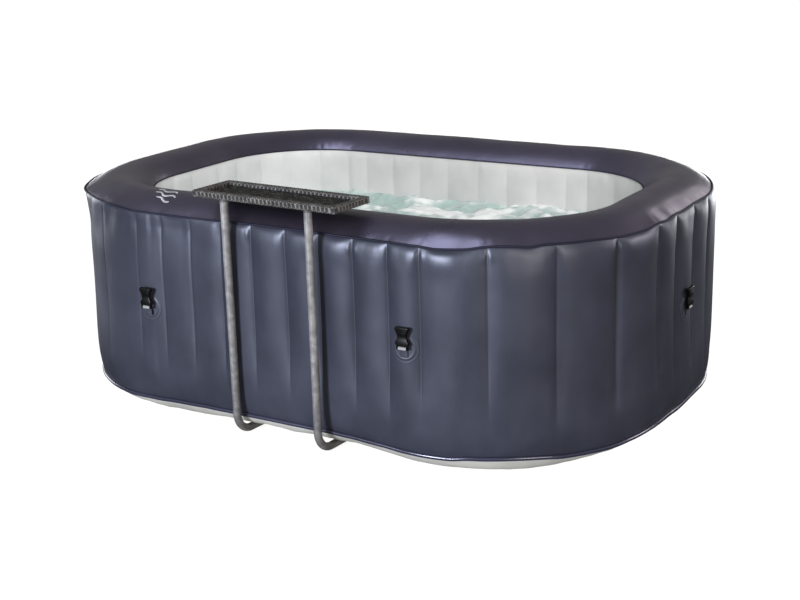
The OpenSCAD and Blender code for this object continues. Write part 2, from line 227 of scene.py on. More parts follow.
def node(nt, kind, **props):
    n = nt.nodes.new(kind)
    for k, v in props.items():
        if k in n.bl_rna.properties:
            setattr(n, k, v)
        else:
            n.inputs[k.replace("_", " ")].default_value = v
    return n


def coords(nt, scale=(1, 1, 1), rot=(0, 0, 0)):
    tc = nt.nodes.new("ShaderNodeTexCoord")
    mp = nt.nodes.new("ShaderNodeMapping")
    mp.inputs["Scale"].default_value = scale
    mp.inputs["Rotation"].default_value = rot
    nt.links.new(tc.outputs["Object"], mp.inputs["Vector"])
    return mp.outputs["Vector"]


def ramp(nt, fac, stops):
    r = nt.nodes.new("ShaderNodeValToRGB")
    while len(r.color_ramp.elements) < len(stops):
        r.color_ramp.elements.new(0.5)
    for e, (p, c) in zip(r.color_ramp.elements, stops):
        e.position = p
        e.color = (*c, 1)
    nt.links.new(fac, r.inputs["Fac"])
    return r.outputs["Color"]


def rough_from(nt, b, fac, lo, hi):
    mr = nt.nodes.new("ShaderNodeMapRange")
    mr.inputs["To Min"].default_value = lo
    mr.inputs["To Max"].default_value = hi
    nt.links.new(fac, mr.inputs["Value"])
    nt.links.new(mr.outputs["Result"], b.inputs["Roughness"])


def bump(nt, b, height, strength, distance, normal=None):
    n = nt.nodes.new("ShaderNodeBump")
    n.inputs["Strength"].default_value = strength
    n.inputs["Distance"].default_value = distance
    nt.links.new(height, n.inputs["Height"])
    if normal is not None:
        nt.links.new(normal, n.inputs["Normal"])
    nt.links.new(n.outputs["Normal"], b.inputs["Normal"])
    return n.outputs["Normal"]


def pvc(name, dark, mid, light, rough, tint, spec=0.5, grain=620.0, grain_depth=0.00012, sheen=0.0, sheen_tint=(1, 1, 1), coat=0.0):
    """Laminated PVC: fine leather grain, slow colour drift, soft wrinkles and worn gloss."""
    m, nt, b = principled(name, mid, rough)
    b.inputs["Specular IOR Level"].default_value = spec
    b.inputs["Specular Tint"].default_value = (*tint, 1)
    b.inputs["Sheen Weight"].default_value = sheen
    b.inputs["Sheen Tint"].default_value = (*sheen_tint, 1)
    b.inputs["Sheen Roughness"].default_value = 0.4
    b.inputs["Coat Weight"].default_value = coat
    b.inputs["Coat Roughness"].default_value = 0.32
    v = coords(nt)
    slow = node(nt, "ShaderNodeTexNoise", Scale=5.5, Detail=4.0, Roughness=0.55)
    nt.links.new(v, slow.inputs["Vector"])
    nt.links.new(ramp(nt, slow.outputs["Fac"], [(0.3, dark), (0.52, mid), (0.75, light)]), b.inputs["Base Color"])
    rough_from(nt, b, slow.outputs["Fac"], rough - 0.06, rough + 0.07)
    cells = node(nt, "ShaderNodeTexVoronoi", feature="DISTANCE_TO_EDGE", Scale=grain)
    nt.links.new(v, cells.inputs["Vector"])
    fine = node(nt, "ShaderNodeTexNoise", Scale=grain * 2.4, Detail=2.0)
    nt.links.new(v, fine.inputs["Vector"])
    wr = node(nt, "ShaderNodeTexNoise", Scale=34.0, Detail=3.0, Roughness=0.5)
    nt.links.new(coords(nt, (1, 1, 0.35)), wr.inputs["Vector"])
    n1 = bump(nt, b, wr.outputs["Fac"], 0.35, 0.0016)
    n2 = bump(nt, b, cells.outputs["Distance"], 0.5, grain_depth, n1)
    bump(nt, b, fine.outputs["Fac"], 0.25, grain_depth * 0.5, n2)
    return m


def srgb(r, g, b):
    def f(c):
        c /= 255
        return c / 12.92 if c <= 0.04045 else ((c + 0.055) / 1.055) ** 2.4
    return (f(r), f(g), f(b))


WALL = pvc("wall_pvc", srgb(33, 35, 45), srgb(38, 40, 51), srgb(44, 46, 57), 0.40, (0.80, 0.84, 1.0), spec=0.62)
RIM = pvc("rim_pvc", srgb(35, 32, 42), srgb(40, 37, 47), srgb(45, 41, 51), 0.29, (0.86, 0.84, 1.0), spec=0.60)
LINER = pvc("liner_pvc", srgb(200, 201, 201), srgb(212, 212, 212), srgb(222, 222, 222), 0.42, (1, 1, 1), spec=0.45, grain=450.0, grain_depth=0.00006)
BASE = pvc("base_pvc", srgb(126, 126, 123), srgb(138, 138, 134), srgb(150, 150, 146), 0.55, (1, 1, 1), spec=0.35, grain=300.0)
PIPING = pvc("piping_pvc", srgb(15, 15, 28), srgb(20, 20, 36), srgb(26, 26, 44), 0.6, (0.85, 0.87, 1.0), spec=0.3, grain=900.0, grain_depth=0.00004)
BEAD = pvc("bead_pvc", srgb(30, 31, 46), srgb(36, 37, 54), srgb(44, 45, 62), 0.24, (0.88, 0.88, 1.0), spec=0.9, grain=900.0, grain_depth=0.00003)
PATCH = pvc("patch_pvc", srgb(34, 36, 47), srgb(40, 42, 54), srgb(46, 48, 60), 0.46, (0.82, 0.86, 1.0), spec=0.6, grain=700.0, grain_depth=0.00008)


def plastic(name, dark, mid, rough, spec=0.5, texture=900.0, depth=0.00008):
    """Moulded plastic: fine spark-eroded texture, slight colour and gloss drift."""
    m, nt, b = principled(name, mid, rough)
    b.inputs["Specular IOR Level"].default_value = spec
    v = coords(nt)
    slow = node(nt, "ShaderNodeTexNoise", Scale=38.0, Detail=3.0)
    nt.links.new(v, slow.inputs["Vector"])
    nt.links.new(ramp(nt, slow.outputs["Fac"], [(0.35, dark), (0.65, mid)]), b.inputs["Base Color"])
    rough_from(nt, b, slow.outputs["Fac"], rough - 0.05, rough + 0.08)
    fine = node(nt, "ShaderNodeTexNoise", Scale=texture, Detail=3.0, Roughness=0.6)
    nt.links.new(v, fine.inputs["Vector"])
    bump(nt, b, fine.outputs["Fac"], 0.35, depth)
    return m


BLACK = plastic("black_plastic", srgb(7, 7, 8), srgb(11, 11, 12), 0.30, 0.25)
SOFT = plastic("soft_black", srgb(18, 18, 19), srgb(24, 24, 26), 0.5)
GREY = plastic("grey_plastic", srgb(176, 180, 184), srgb(188, 192, 196), 0.38)
WHITE = plastic("white_plastic", srgb(214, 214, 214), srgb(226, 226, 226), 0.4)
RUBBER = plastic("seal_rubber", srgb(24, 24, 26), srgb(32, 32, 34), 0.62, 0.35, 500.0, 0.00015)


def fabric(name, dark, mid, scale, rough=0.8):
    """Woven webbing or coated fabric: a fine plain weave."""
    m, nt, b = principled(name, mid, rough)
    b.inputs["Sheen Weight"].default_value = 0.25
    b.inputs["Sheen Roughness"].default_value = 0.45
    v = coords(nt)
    w1 = node(nt, "ShaderNodeTexWave", wave_type="BANDS", bands_direction="X", Scale=scale)
    w2 = node(nt, "ShaderNodeTexWave", wave_type="BANDS", bands_direction="Z", Scale=scale)
    nt.links.new(v, w1.inputs["Vector"])
    nt.links.new(v, w2.inputs["Vector"])
    mul = node(nt, "ShaderNodeMath", operation="MULTIPLY")
    nt.links.new(w1.outputs["Fac"], mul.inputs[0])
    nt.links.new(w2.outputs["Fac"], mul.inputs[1])
    nt.links.new(ramp(nt, mul.outputs[0], [(0.0, dark), (1.0, mid)]), b.inputs["Base Color"])
    bump(nt, b, mul.outputs[0], 0.6, 0.0003)
    return m


# webbing: pale grey, partly the webbing's own colour and partly a painted highlight on the loop round the buckle's bar
WEBBING = fabric("webbing_weave", srgb(112, 112, 116), srgb(158, 158, 161), 260.0, 0.5)
WEBFAB = fabric("web_fabric", srgb(190, 194, 196), srgb(208, 212, 214), 180.0)
FOAM = plastic("foam_mat", srgb(150, 158, 163), srgb(166, 172, 176), 0.8, 0.3, 240.0, 0.0005)


def metal(name, dark, mid, light, rough, metallic, coat=0.0, foot=1.0):
    """Powder-coated or brushed tube: metallic fleck, cloudy gloss, fine orange peel."""
    m, nt, b = principled(name, mid, rough)
    b.inputs["Metallic"].default_value = metallic
    b.inputs["Coat Weight"].default_value = coat
    b.inputs["Coat Roughness"].default_value = 0.2
    v = coords(nt)
    cloud = node(nt, "ShaderNodeTexNoise", Scale=46.0, Detail=4.0, Roughness=0.62, Distortion=0.4)
    nt.links.new(v, cloud.inputs["Vector"])
    col = ramp(nt, cloud.outputs["Fac"], [(0.3, dark), (0.5, mid), (0.72, light)])
    if foot < 1:
        # painted shade: the colour darkens towards the foot
        sep = nt.nodes.new("ShaderNodeSeparateXYZ")
        nt.links.new(coords(nt), sep.inputs["Vector"])
        down = ramp(nt, sep.outputs["Z"], [(0.02, (foot, foot, foot)), (0.30, (1, 1, 1))])
        mul = nt.nodes.new("ShaderNodeMix")
        mul.data_type = "RGBA"
        mul.blend_type = "MULTIPLY"
        mul.inputs["Factor"].default_value = 1.0
        nt.links.new(col, mul.inputs[6])
        nt.links.new(down, mul.inputs[7])
        col = mul.outputs[2]
    nt.links.new(col, b.inputs["Base Color"])
    rough_from(nt, b, cloud.outputs["Fac"], rough - 0.07, rough + 0.1)
    peel = node(nt, "ShaderNodeTexNoise", Scale=420.0, Detail=2.0)
    nt.links.new(v, peel.inputs["Vector"])
    bump(nt, b, peel.outputs["Fac"], 0.25, 0.00012)
    return m


# tube_coat: foot 0.55 paints shade, darker towards the bottom of the tubes
TUBE = metal("tube_coat", srgb(106, 105, 107), srgb(124, 123, 125), srgb(148, 147, 149), 0.36, 0.35, 0.15, 0.55)
STEEL = metal("bright_steel", srgb(150, 150, 152), srgb(172, 172, 174), srgb(190, 190, 192), 0.28, 1.0)
ARM = metal("arm_coat", srgb(70, 69, 68), srgb(84, 83, 82), srgb(98, 97, 96), 0.45, 0.2)


def rattan(name, dark, mid, light, stops=(0.2, 0.5, 0.85), spec=0.4):
    """Moulded or woven synthetic cane: fibre streaks along each strip, with painted shade from the strip attribute
    darkening the gaps and dips.
    """
    m, nt, b = principled(name, mid, 0.5)
    b.inputs["Specular IOR Level"].default_value = spec
    at = node(nt, "ShaderNodeAttribute", attribute_name="strip")
    v = coords(nt)
    streak = node(nt, "ShaderNodeTexNoise", Scale=300.0, Detail=4.0, Roughness=0.7)
    nt.links.new(v, streak.inputs["Vector"])
    slow = node(nt, "ShaderNodeTexNoise", Scale=60.0, Detail=2.0)
    nt.links.new(v, slow.inputs["Vector"])
    mix = node(nt, "ShaderNodeMath", operation="ADD")
    nt.links.new(streak.outputs["Fac"], mix.inputs[0])
    nt.links.new(slow.outputs["Fac"], mix.inputs[1])
    add = node(nt, "ShaderNodeMath", operation="MULTIPLY_ADD")
    add.inputs[1].default_value = 0.5
    nt.links.new(mix.outputs[0], add.inputs[0])
    # painted shade: low strip values, in grooves and where a strip dips, pull the colour darker
    sc = node(nt, "ShaderNodeMath", operation="MULTIPLY_ADD")
    sc.inputs[1].default_value = 0.5
    sc.inputs[2].default_value = -0.25
    nt.links.new(at.outputs["Fac"], sc.inputs[0])
    nt.links.new(sc.outputs[0], add.inputs[2])
    nt.links.new(ramp(nt, add.outputs[0], [(stops[0], dark), (stops[1], mid), (stops[2], light)]), b.inputs["Base Color"])
    rough_from(nt, b, streak.outputs["Fac"], 0.38, 0.62)
    bump(nt, b, streak.outputs["Fac"], 0.5, 0.0003)
    return m


RATTAN = rattan("rattan_cane", srgb(8, 8, 8), srgb(40, 39, 39), srgb(105, 103, 101), (0.28, 0.54, 0.80))
RATTAN_FLOOR = rattan("rattan_weave", srgb(2, 2, 2), srgb(8, 8, 8), srgb(86, 85, 84), (0.52, 0.68, 0.84), 0.2)

# ------------------------------------------------------------------ the tub's plan
R = 0.517
_lo, _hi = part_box("outer_wall_skin")
CX, CY = _hi.x - R, _hi.y - R
Q = R * math.pi / 2
SEG = [2 * CX, Q, 2 * CY, Q, 2 * CX, Q, 2 * CY, Q]
S0 = np.concatenate([[0], np.cumsum(SEG)])
TOTAL = S0[-1]


def station(s):
    """Foot point and outward normal for places s along the plan, s = 0 at the front straight's left end."""
    s = np.asarray(s, float) % TOTAL
    k = np.clip(np.searchsorted(S0, s, side="right") - 1, 0, 7)
    t = s - S0[k]
    bx, by, a = np.zeros_like(s), np.zeros_like(s), np.zeros_like(s)
    for i in range(8):
        m = k == i
        if i == 0:
            bx[m], by[m], a[m] = -CX + t[m], -CY, -90
        elif i == 2:
            bx[m], by[m], a[m] = CX, -CY + t[m], 0
        elif i == 4:
            bx[m], by[m], a[m] = CX - t[m], CY, 90
        elif i == 6:
            bx[m], by[m], a[m] = -CX, CY - t[m], 180
        else:
            bx[m] = CX if i in (1, 3) else -CX
            by[m] = -CY if i in (1, 7) else CY
            a[m] = {1: -90, 3: 0, 5: 90, 7: 180}[i] + np.degrees(t[m] / R)
    a = np.radians(a)
    return np.stack([bx, by], -1), np.stack([np.cos(a), np.sin(a)], -1)


side = [0.056, 0.161, 0.267, 0.370]
side = [-x for x in side[::-1]] + side
corner = [5.5, 25.25, 45.0, 64.75, 84.5]
creases = []
for i in range(8):
    if i in (0, 4):
        creases += [S0[i] + CX + x for x in side]
    elif i in (2, 6):
        creases += [S0[i] + CY + y for y in (-0.068, 0.068)]
    else:
        creases += [S0[i] + R * math.radians(c) for c in corner]
creases = sorted(creases)
NP = len(creases)

cols_s, cols_u, cols_w, cols_k = [], [], [], []
for k in range(NP):
    a, b = creases[k], creases[(k + 1) % NP] + (TOTAL if k == NP - 1 else 0)
    w = b - a
    n = 26 if w > 0.15 else (22 if w > 0.12 else 20)
    t = np.arange(n) / n
    u = t - 0.62 * np.sin(2 * np.pi * t) / (2 * np.pi)
    cols_s += list(a + u * w)
    cols_u += list(u)
    cols_w += [w] * n
    cols_k += [k] * n
cols_s, cols_u, cols_w, cols_k = map(np.array, (cols_s, cols_u, cols_w, cols_k))
NC = len(cols_s)
FOOT, NRM = station(cols_s)
cols_s = cols_s % TOTAL


def plan(r, foot=None, nrm=None):
    foot, nrm = FOOT if foot is None else foot, NRM if nrm is None else nrm
    return foot + nrm * np.asarray(r)[..., None]


EDGE = plan(np.full(NC, R))


def dist_s(s0):
    d = np.abs(cols_s - s0 % TOTAL)
    return np.minimum(d, TOTAL - d)


HSEED = rng.uniform(0.85, 1.15, NP)          # each panel is blown up a little differently
TILT = rng.uniform(-0.10, 0.10, NP)          # and its crown sits a little to one side
uu = np.clip(cols_u + TILT[cols_k] * cols_u * (1 - cols_u) * 2, 0, 1)
PIL = (1 - np.abs(2 * uu - 1) ** 2.0)
CRD = np.minimum(cols_u, 1 - cols_u) * cols_w  # distance to the nearest crease
near_k = np.where(cols_u < 0.5, cols_k, (cols_k + 1) % NP)

# the seams wander a little between the welds
def wander(table, s, seed):
    """Heights in mm through (place, height) pairs, with slow noise where no pair is near."""
    a = np.array(table, float)
    xs, ys = a[:, 0], a[:, 1]
    x = np.where(s < xs[0], s + TOTAL, s)
    free = (x > xs[-1]) & (x < xs[0] + TOTAL)
    xs2, ys2 = np.append(xs, xs[0] + TOTAL), np.append(ys, ys[0])
    y = pchip(xs2, ys2, x)
    fade = np.where(free, smooth(0, 0.25, x - xs[-1]) * smooth(0, 0.25, xs[0] + TOTAL - x), 0)
    return (y + fade * 3.0 * vnoise(s * 6.5, seed, 0.2) + 0.5 * vnoise(s * 24.0, seed, 1.2)) / 1000


T_TABLE = [(5.10 - TOTAL, 7.5), (5.26 - TOTAL, 7.6), (5.34 - TOTAL, 4.5), (5.38 - TOTAL, 1.6), (0.0, 1.4), (0.16, 0.4), (0.40, 3.4), (0.52, 2.2), (0.68, 0.2), (0.76, -0.4), (0.84, -1.6), (0.88, -3.2),
           (0.92, -7.0), (0.96, -6.0), (1.0, -4.4), (1.04, 1.0), (1.08, 3.2), (1.12, 2.4), (1.16, -1.0), (1.20, 3.0), (1.32, 2.0), (1.44, -2.2), (1.52, -1.0), (1.60, 4.2), (1.64, 2.2), (1.68, 5.8),
           (1.76, 3.8), (1.84, 6.2), (1.92, 4.8), (2.0, 5.4)]
B_TABLE = [(4.98 - TOTAL, 0), (5.12 - TOTAL, 2.0), (5.31 - TOTAL, 3.6), (5.37 - TOTAL, 7.2), (5.43 - TOTAL, 9.4), (0.10, 12.6), (0.18, 13.8), (0.46, 13.2), (0.54, 13.4), (0.64, 11.0), (0.70, 7.8), (0.76, 4.4),
           (0.82, -0.4), (0.94, -2.2), (1.0, 2.0), (1.12, 3.2), (1.18, 2.4), (1.26, -1.6), (1.40, -2.4), (1.48, 1.2), (1.58, 4.2), (1.68, 1.4), (1.78, -3.4), (1.92, 1.6)]
s_w = np.where(cols_s > 3.4, cols_s - TOTAL, cols_s)
SEAM_Z = 0.600 + wander(T_TABLE, s_w, 1.5)
BSEAM_Z = 0.0425 + wander(B_TABLE, s_w, 7.7)
ex, ey = EDGE[:, 0], EDGE[:, 1]
# the welt stands out a little at both ends, where the rim's sheet is joined
WELT = np.where(ex < 0, 0.0105, 0.0035) * smooth(0.62, 0.46, np.where(ex < 0, -ey, ey)) * smooth(-0.30, -0.12, np.where(ex < 0, -ey, ey)) * smooth(0.62, 0.80, np.abs(ex)) + 0.0012 * vnoise(cols_s * 8.0, 4.1, 0.9)

# places where the wall is held flat by a fitting: x on the back wall, height, radius
FITTINGS = [(-0.1085, 0.2, 0.050), (0.0, 0.2, 0.040), (0.1085, 0.2, 0.050), (0.314, 0.096, 0.030), (-0.314, 0.43, 0.032)]


def held(foot, nrm, z, grow=1.0):
    """1 where a fitting holds the skin flat, fading to 0 around it."""
    out = np.zeros(np.broadcast(foot[..., 0], z).shape)
    on_back = (nrm[..., 1] > 0.9) & (foot[..., 1] > 0)
    for fx, fz, fr in FITTINGS:
        d = np.hypot(foot[..., 0] - fx, z - fz)
        out = np.maximum(out, on_back * (1 - smooth(fr * grow, fr * grow + 0.045, d)))
    return out


MM = 0.001
zc = np.array([44, 46, 50, 58, 80, 125, 200, 350, 450, 510, 535, 556, 572, 583, 590, 595, 598, 600.0]) * MM
rc = R + np.array([-17, -15.4, -13.5, -11.0, -7.2, -3.8, -1.1, 0, -0.1, -0.4, -0.9, -2.0, -3.9, -6.3, -9.0, -11.9, -14.8, -17.8]) * MM
zk = np.array([44, 46, 50, 58, 80, 110, 140, 180, 230, 350, 480, 535, 560, 576, 588, 595, 598, 600.0]) * MM
rk = R + np.array([-17, -15.5, -13.8, -11.4, -7.8, -5.2, -4.4, -5.2, -7.4, -11.2, -11.6, -11.0, -11.2, -12.0, -13.4, -14.9, -16.2, -17.8]) * MM


zf_ = np.array([44, 46, 50, 58, 80, 125, 200, 300, 380, 440, 490, 530, 560, 580, 592, 600.0]) * MM
rf_ = R + np.array([-17, -15.4, -13.5, -11.0, -7.2, -3.8, -1.4, -2.4, -4.8, -7.4, -9.8, -12.2, -14.4, -16.0, -17.2, -17.8]) * MM


def left_part(s):
    """1 round the front left corner, where the panels are blown up less, 0 elsewhere."""
    q = np.where(s > 3.4, s - TOTAL, s)
    return smooth(0.42, 0.12, q) * smooth(-0.95, -0.70, q)


def right_part(s):
    """1 round the right end, where the welds pull in deeper."""
    q = np.asarray(s, float)
    return smooth(1.05, 1.35, q) * smooth(2.75, 2.45, q)


def wall_r(z, foot=FOOT, nrm=NRM, pil=PIL, crd=CRD, s=cols_s, k=cols_k, nk=near_k, w=cols_w):
    """Distance of the outer wall's face from the plan's feet, at height z of the unwaved wall."""
    centre, crease = pchip(zc, rc, z), pchip(zk, rk, z)
    # the pillow's end under the seam is uneven from panel to panel
    full = (0.88 + 0.12 * HSEED[k]) * (1 - 0.62 * left_part(s))
    # towards the seam the pillow's section turns from a round crown into a flat-topped one
    tp = smooth(0.50, 0.585, z)
    pp = pil * (1 - tp) + (1 - (1 - pil) ** 2.2) * tp
    lp = left_part(s)
    lean = pchip(zf_, rf_, z)
    centre, crease = centre + (lean - centre) * lp, crease + (lean - 0.0035 * (1 - smooth(0.56, 0.6, z)) - crease) * lp * smooth(0.40, 0.52, z)
    r = crease + (centre - crease) * pp * full
    r = r - 0.0042 * right_part(s) * smooth(0.09, 0.2, z) * (1 - smooth(0.565, 0.598, z)) * np.exp(-(crd / 0.013) ** 2)
    # the weld line itself: a narrow valley, with a small pleat where it meets the seam
    deep = smooth(0.17, 0.26, z) * (1 - smooth(0.575, 0.598, z))
    r = r - 0.0008 * deep * np.exp(-(crd / 0.0036) ** 2)
    pleat = np.sin(nk * 2.399)
    up = np.exp(-((z - 0.578 + 0.006 * pleat) / 0.013) ** 2)
    r = r + 0.0022 * (1 - 0.75 * lp) * (0.35 + 0.65 * pleat) * up * np.exp(-((crd - 0.009) / 0.0055) ** 2) * np.where(w > 0, 1, 1)
    # slack that gathers in slow waves below the seam, and long shallow flutes
    top = smooth(0.51, 0.575, z) * (1 - smooth(0.588, 0.6, z))
    r = r + 0.0016 * top * vnoise(s * 27.0, z * 16.0, 2.2) * smooth(0.0, 0.02, crd)
    r = r + 0.0030 * top * vnoise(s * 9.5, z * 9.0, 21.0) * smooth(0.0, 0.03, crd)
    r = r + WELT * smooth(0.50, 0.598, z)
    mid = smooth(0.05, 0.12, z) * (1 - smooth(0.56, 0.6, z))
    r = r + 0.0011 * mid * fbm(s * 9.0, z * 3.0, 4.4, 2) + 0.0008 * mid * vnoise(s * 23.0, z * 5.0, 8.8)
    low = 1 - smooth(0.1, 0.2, z)
    r = r + 0.0009 * low * smooth(0.044, 0.065, z) * vnoise(s * 16.0, z * 22.0, 6.1)
    h = held(foot, nrm, z)
    return r * (1 - h) + (R - 0.0002) * h * 1.0 if np.any(h) else r


def wave_z(z):
    """Lets the seams' wander carry into the rows next to them."""
    return z + (SEAM_Z - 0.600) * smooth(0.50, 0.60, z) + (BSEAM_Z - 0.044) * (1 - smooth(0.044, 0.16, z))


def skin_grid(name, outer, inner):
    """outer and inner: lists of (r array, z array) over the columns; together they make one closed loop of section."""
    rows = outer + inner
    pts = np.stack([np.concatenate([plan(r), np.broadcast_to(z, (NC,))[:, None]], 1) for r, z in rows], 1)
    return new_mesh(name, pts.reshape(-1, 3), grid_faces(NC, len(rows)).tolist())


zr = np.concatenate([[44, 45.5, 47.5, 50, 53.5, 58, 64, 72, 82, 94, 108, 124, 142, 162, 184, 208, 234, 262, 292, 324, 356, 388, 420, 450, 476, 498, 516, 530],
                     np.arange(540, 596, 4.2), [596, 598, 599.3, 600]]) * MM
outer = [(wall_r(z), wave_z(z)) for z in zr]
inner_z = [0.598, 0.56, 0.50, 0.40, 0.30, 0.20, 0.12, 0.08, 0.055, 0.046]
inner = [(wall_r(z) - 0.0018, wave_z(z)) for z in inner_z]
wall = skin_grid("outer_wall", outer, inner)
put(wall, WALL, "tub", ["outer_wall_skin"])

# ------------------------------------------------------------------ rim
_x = np.linspace(0, 1, 25)
_x = _x - 0.6 * np.sin(2 * np.pi * _x) / (2 * np.pi)
rim_pts = np.stack([-17.6 - 189.6 * _x, 600 - 6 * _x + 49.4 * (1 - np.abs(2 * _x - 1) ** 2.15)], 1) * MM
ln = np.concatenate([[0], np.cumsum(np.hypot(*np.diff(rim_pts, axis=0).T))])
tt = np.linspace(0, 1, 62)
tt = (tt - 0.55 * np.sin(2 * np.pi * tt) / (2 * np.pi)) * ln[-1]


def catmull(xs, ys, x):
    m = np.gradient(ys, xs)
    h = np.diff(xs)
    i = np.clip(np.searchsorted(xs, x) - 1, 0, len(xs) - 2)
    t = (x - xs[i]) / h[i]
    return (ys[i] * (1 + 2 * t) * (1 - t) ** 2 + ys[i + 1] * t * t * (3 - 2 * t)
            + h[i] * (m[i] * t * (1 - t) ** 2 + m[i + 1] * t * t * (t - 1)))


rim_r, rim_z = catmull(ln, rim_pts[:, 0], tt) + R, catmull(ln, rim_pts[:, 1], tt)
L_RIM = ln[-1]
in_corner = np.zeros(NC)
for i in (1, 3, 5, 7):
    mid = S0[i] + Q / 2
    in_corner = np.maximum(in_corner, 1 - smooth(Q * 0.35, Q * 0.62, dist_s(mid)))


def rim_row(r, z, t):
    """t is the way across the rim, 0 at the outer seam and 1 at the inner one."""
    edge = 1 - smooth(0.0, 0.34, t)
    inn = smooth(0.90, 1.0, t)
    crown = math.sin(math.pi * t)
    dz = 0.0018 * crown * fbm(cols_s * 4.0, t * 2.0, 1.1, 2) + 0.0009 * crown * vnoise(cols_s * 11.0, t * 5.0, 3.3)
    # small gathers where the sheet is welded down
    near_out = math.exp(-((t - 0.045) / 0.05) ** 2)
    near_in = math.exp(-((t - 0.945) / 0.05) ** 2)
    dr = WELT * (1 - smooth(0.0, 0.16, t))
    dz = dz + near_out * (0.0005 * vnoise(cols_s * 36.0, 2.0, 7.0) - 0.0007 * np.exp(-(CRD / 0.010) ** 2))
    dz = dz + 0.0005 * near_in * (0.3 + in_corner) * vnoise(cols_s * 44.0, 5.0, 9.0)
    zz = z + (SEAM_Z - 0.600) * edge + dz * (1 - 0.0 * inn)
    return r + dr, zz


outer = [rim_row(r, z, t / L_RIM) for r, z, t in zip(rim_r, rim_z, tt)]
rim_outer = list(outer)
idx = np.linspace(0, len(tt) - 1, 14).astype(int)[::-1]
inner = []
for i in idx:
    r, z = outer[i]
    t = tt[i] / L_RIM
    a = math.atan2(rim_z[min(i + 1, len(tt) - 1)] - rim_z[max(i - 1, 0)], rim_r[min(i + 1, len(tt) - 1)] - rim_r[max(i - 1, 0)])
    nx, nz = -math.sin(a), math.cos(a)
    s = 0.0018 if nz < 0 or True else 0
    # inward: towards the middle of the rim's section
    inner.append((r + s * (-1 if rim_r[i] > R - 0.11 else 1) * abs(math.sin(a)), z - s * abs(math.cos(a)) - 0.0004))
rim = skin_grid("rim", outer, inner)
put(rim, RIM, "tub", ["rim_skin"])

# ------------------------------------------------------------------ liner
zl = np.array([36, 50, 80, 130, 250, 410, 500, 545, 572, 586, 594.0]) * MM
rl = R + np.array([-207, -208.5, -213, -218, -220, -220, -219, -217, -213.5, -209.5, -207.0]) * MM
rlk = R + np.array([-207, -208, -211, -212.5, -211.5, -210.5, -210, -209.5, -209, -208, -207.0]) * MM


def liner_r(z):
    c, k = pchip(zl, rl, z), pchip(zl, rlk, z)
    k = k + 0.50 * (c - k)
    r = k + (c - k) * PIL * (0.9 + 0.1 * HSEED[cols_k])
    r = r + 0.0010 * smooth(0.05, 0.1, z) * (1 - smooth(0.575, 0.594, z)) * fbm(cols_s * 10.0, z * 4.0, 12.4, 2)
    r = r - 0.0012 * smooth(0.53, 0.57, z) * (1 - smooth(0.575, 0.594, z)) * vnoise(cols_s * 30.0, z * 14.0, 15.0) * smooth(0, 0.015, CRD)
    h = held(FOOT, NRM, z, 0.9)
    return r * (1 - h) + (R - 0.2199) * h


zr = np.array([594, 592, 589, 585, 580, 574, 567, 558, 547, 534, 518, 500, 480, 458, 436, 412, 380, 340, 300, 260, 220, 180, 140, 110, 86, 66, 52, 42, 36]) * MM
outer = [(liner_r(z), np.full(NC, z)) for z in zr]
inner = [(liner_r(z) + 0.0018, np.full(NC, z)) for z in (0.037, 0.06, 0.1, 0.2, 0.3, 0.4, 0.5, 0.56, 0.592)]
liner = skin_grid("liner_wall", outer, inner)
put(liner, LINER, "tub", ["inner_wall_liner"])

# ------------------------------------------------------------------ seam piping
def ring_tube(name, r, z, rad, n=12, squash_z=1.0):
    c = plan(r)
    ang = np.arange(n) * 2 * np.pi / n
    pts = np.zeros((NC, n, 3))
    pts[:, :, 0] = c[:, None, 0] + NRM[:, None, 0] * rad * np.cos(ang)
    pts[:, :, 1] = c[:, None, 1] + NRM[:, None, 1] * rad * np.cos(ang)
    pts[:, :, 2] = np.asarray(z)[:, None] + rad * squash_z * np.sin(ang)
    return new_mesh(name, pts.reshape(-1, 3), grid_faces(NC, n).tolist())


put(ring_tube("top_seam", R - 0.0163 + WELT * 1.1, SEAM_Z + 0.0002, 0.0034, squash_z=0.85), PIPING, "tub", ["top_seam_piping"])
put(ring_tube("bottom_seam", np.full(NC, R - 0.0128), BSEAM_Z - 0.0006, 0.0042, squash_z=1.35), BEAD, "tub", ["bottom_seam_piping"])
put(ring_tube("inner_seam", np.full(NC, R - 0.2075), np.full(NC, 0.5935), 0.0026, squash_z=0.8), PIPING, "tub", ["inner_rim_piping"])

# ------------------------------------------------------------------ base sheet, which folds over the stand's runners
_ll, _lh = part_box("leg_tube_left")
_rl, _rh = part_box("leg_tube_right")
YAW = math.radians(-3.0)
GAP = 0.280
SX = (_ll.x + _lh.x + _rl.x + _rh.x) / 4
TUBE_R = 0.011
ST = Vector((0.024, -(CY + R + 0.0045 + TUBE_R) - GAP / 2 * math.sin(-YAW), 0))


def to_stand(x, y):
    dx, dy = x - ST.x, y - ST.y
    c, s = math.cos(-YAW), math.sin(-YAW)
    return c * dx - s * dy, s * dx + c * dy


base_pts = np.array([(-16, 43.5), (-14.8, 41), (-15.2, 38), (-17.5, 33), (-22, 26.5), (-29, 19), (-38, 11.5), (-49, 5.5), (-62, 1.8), (-76, 0.3), (-88, 0.0), (-100, 0), (-112, 0), (-124, 0), (-138, 0),
                     (-152, 0), (-166, 0), (-180, 0), (-194, 0), (-208, 0), (-222, 0), (-240, 0)]) * MM
rows = []
SB = cols_s
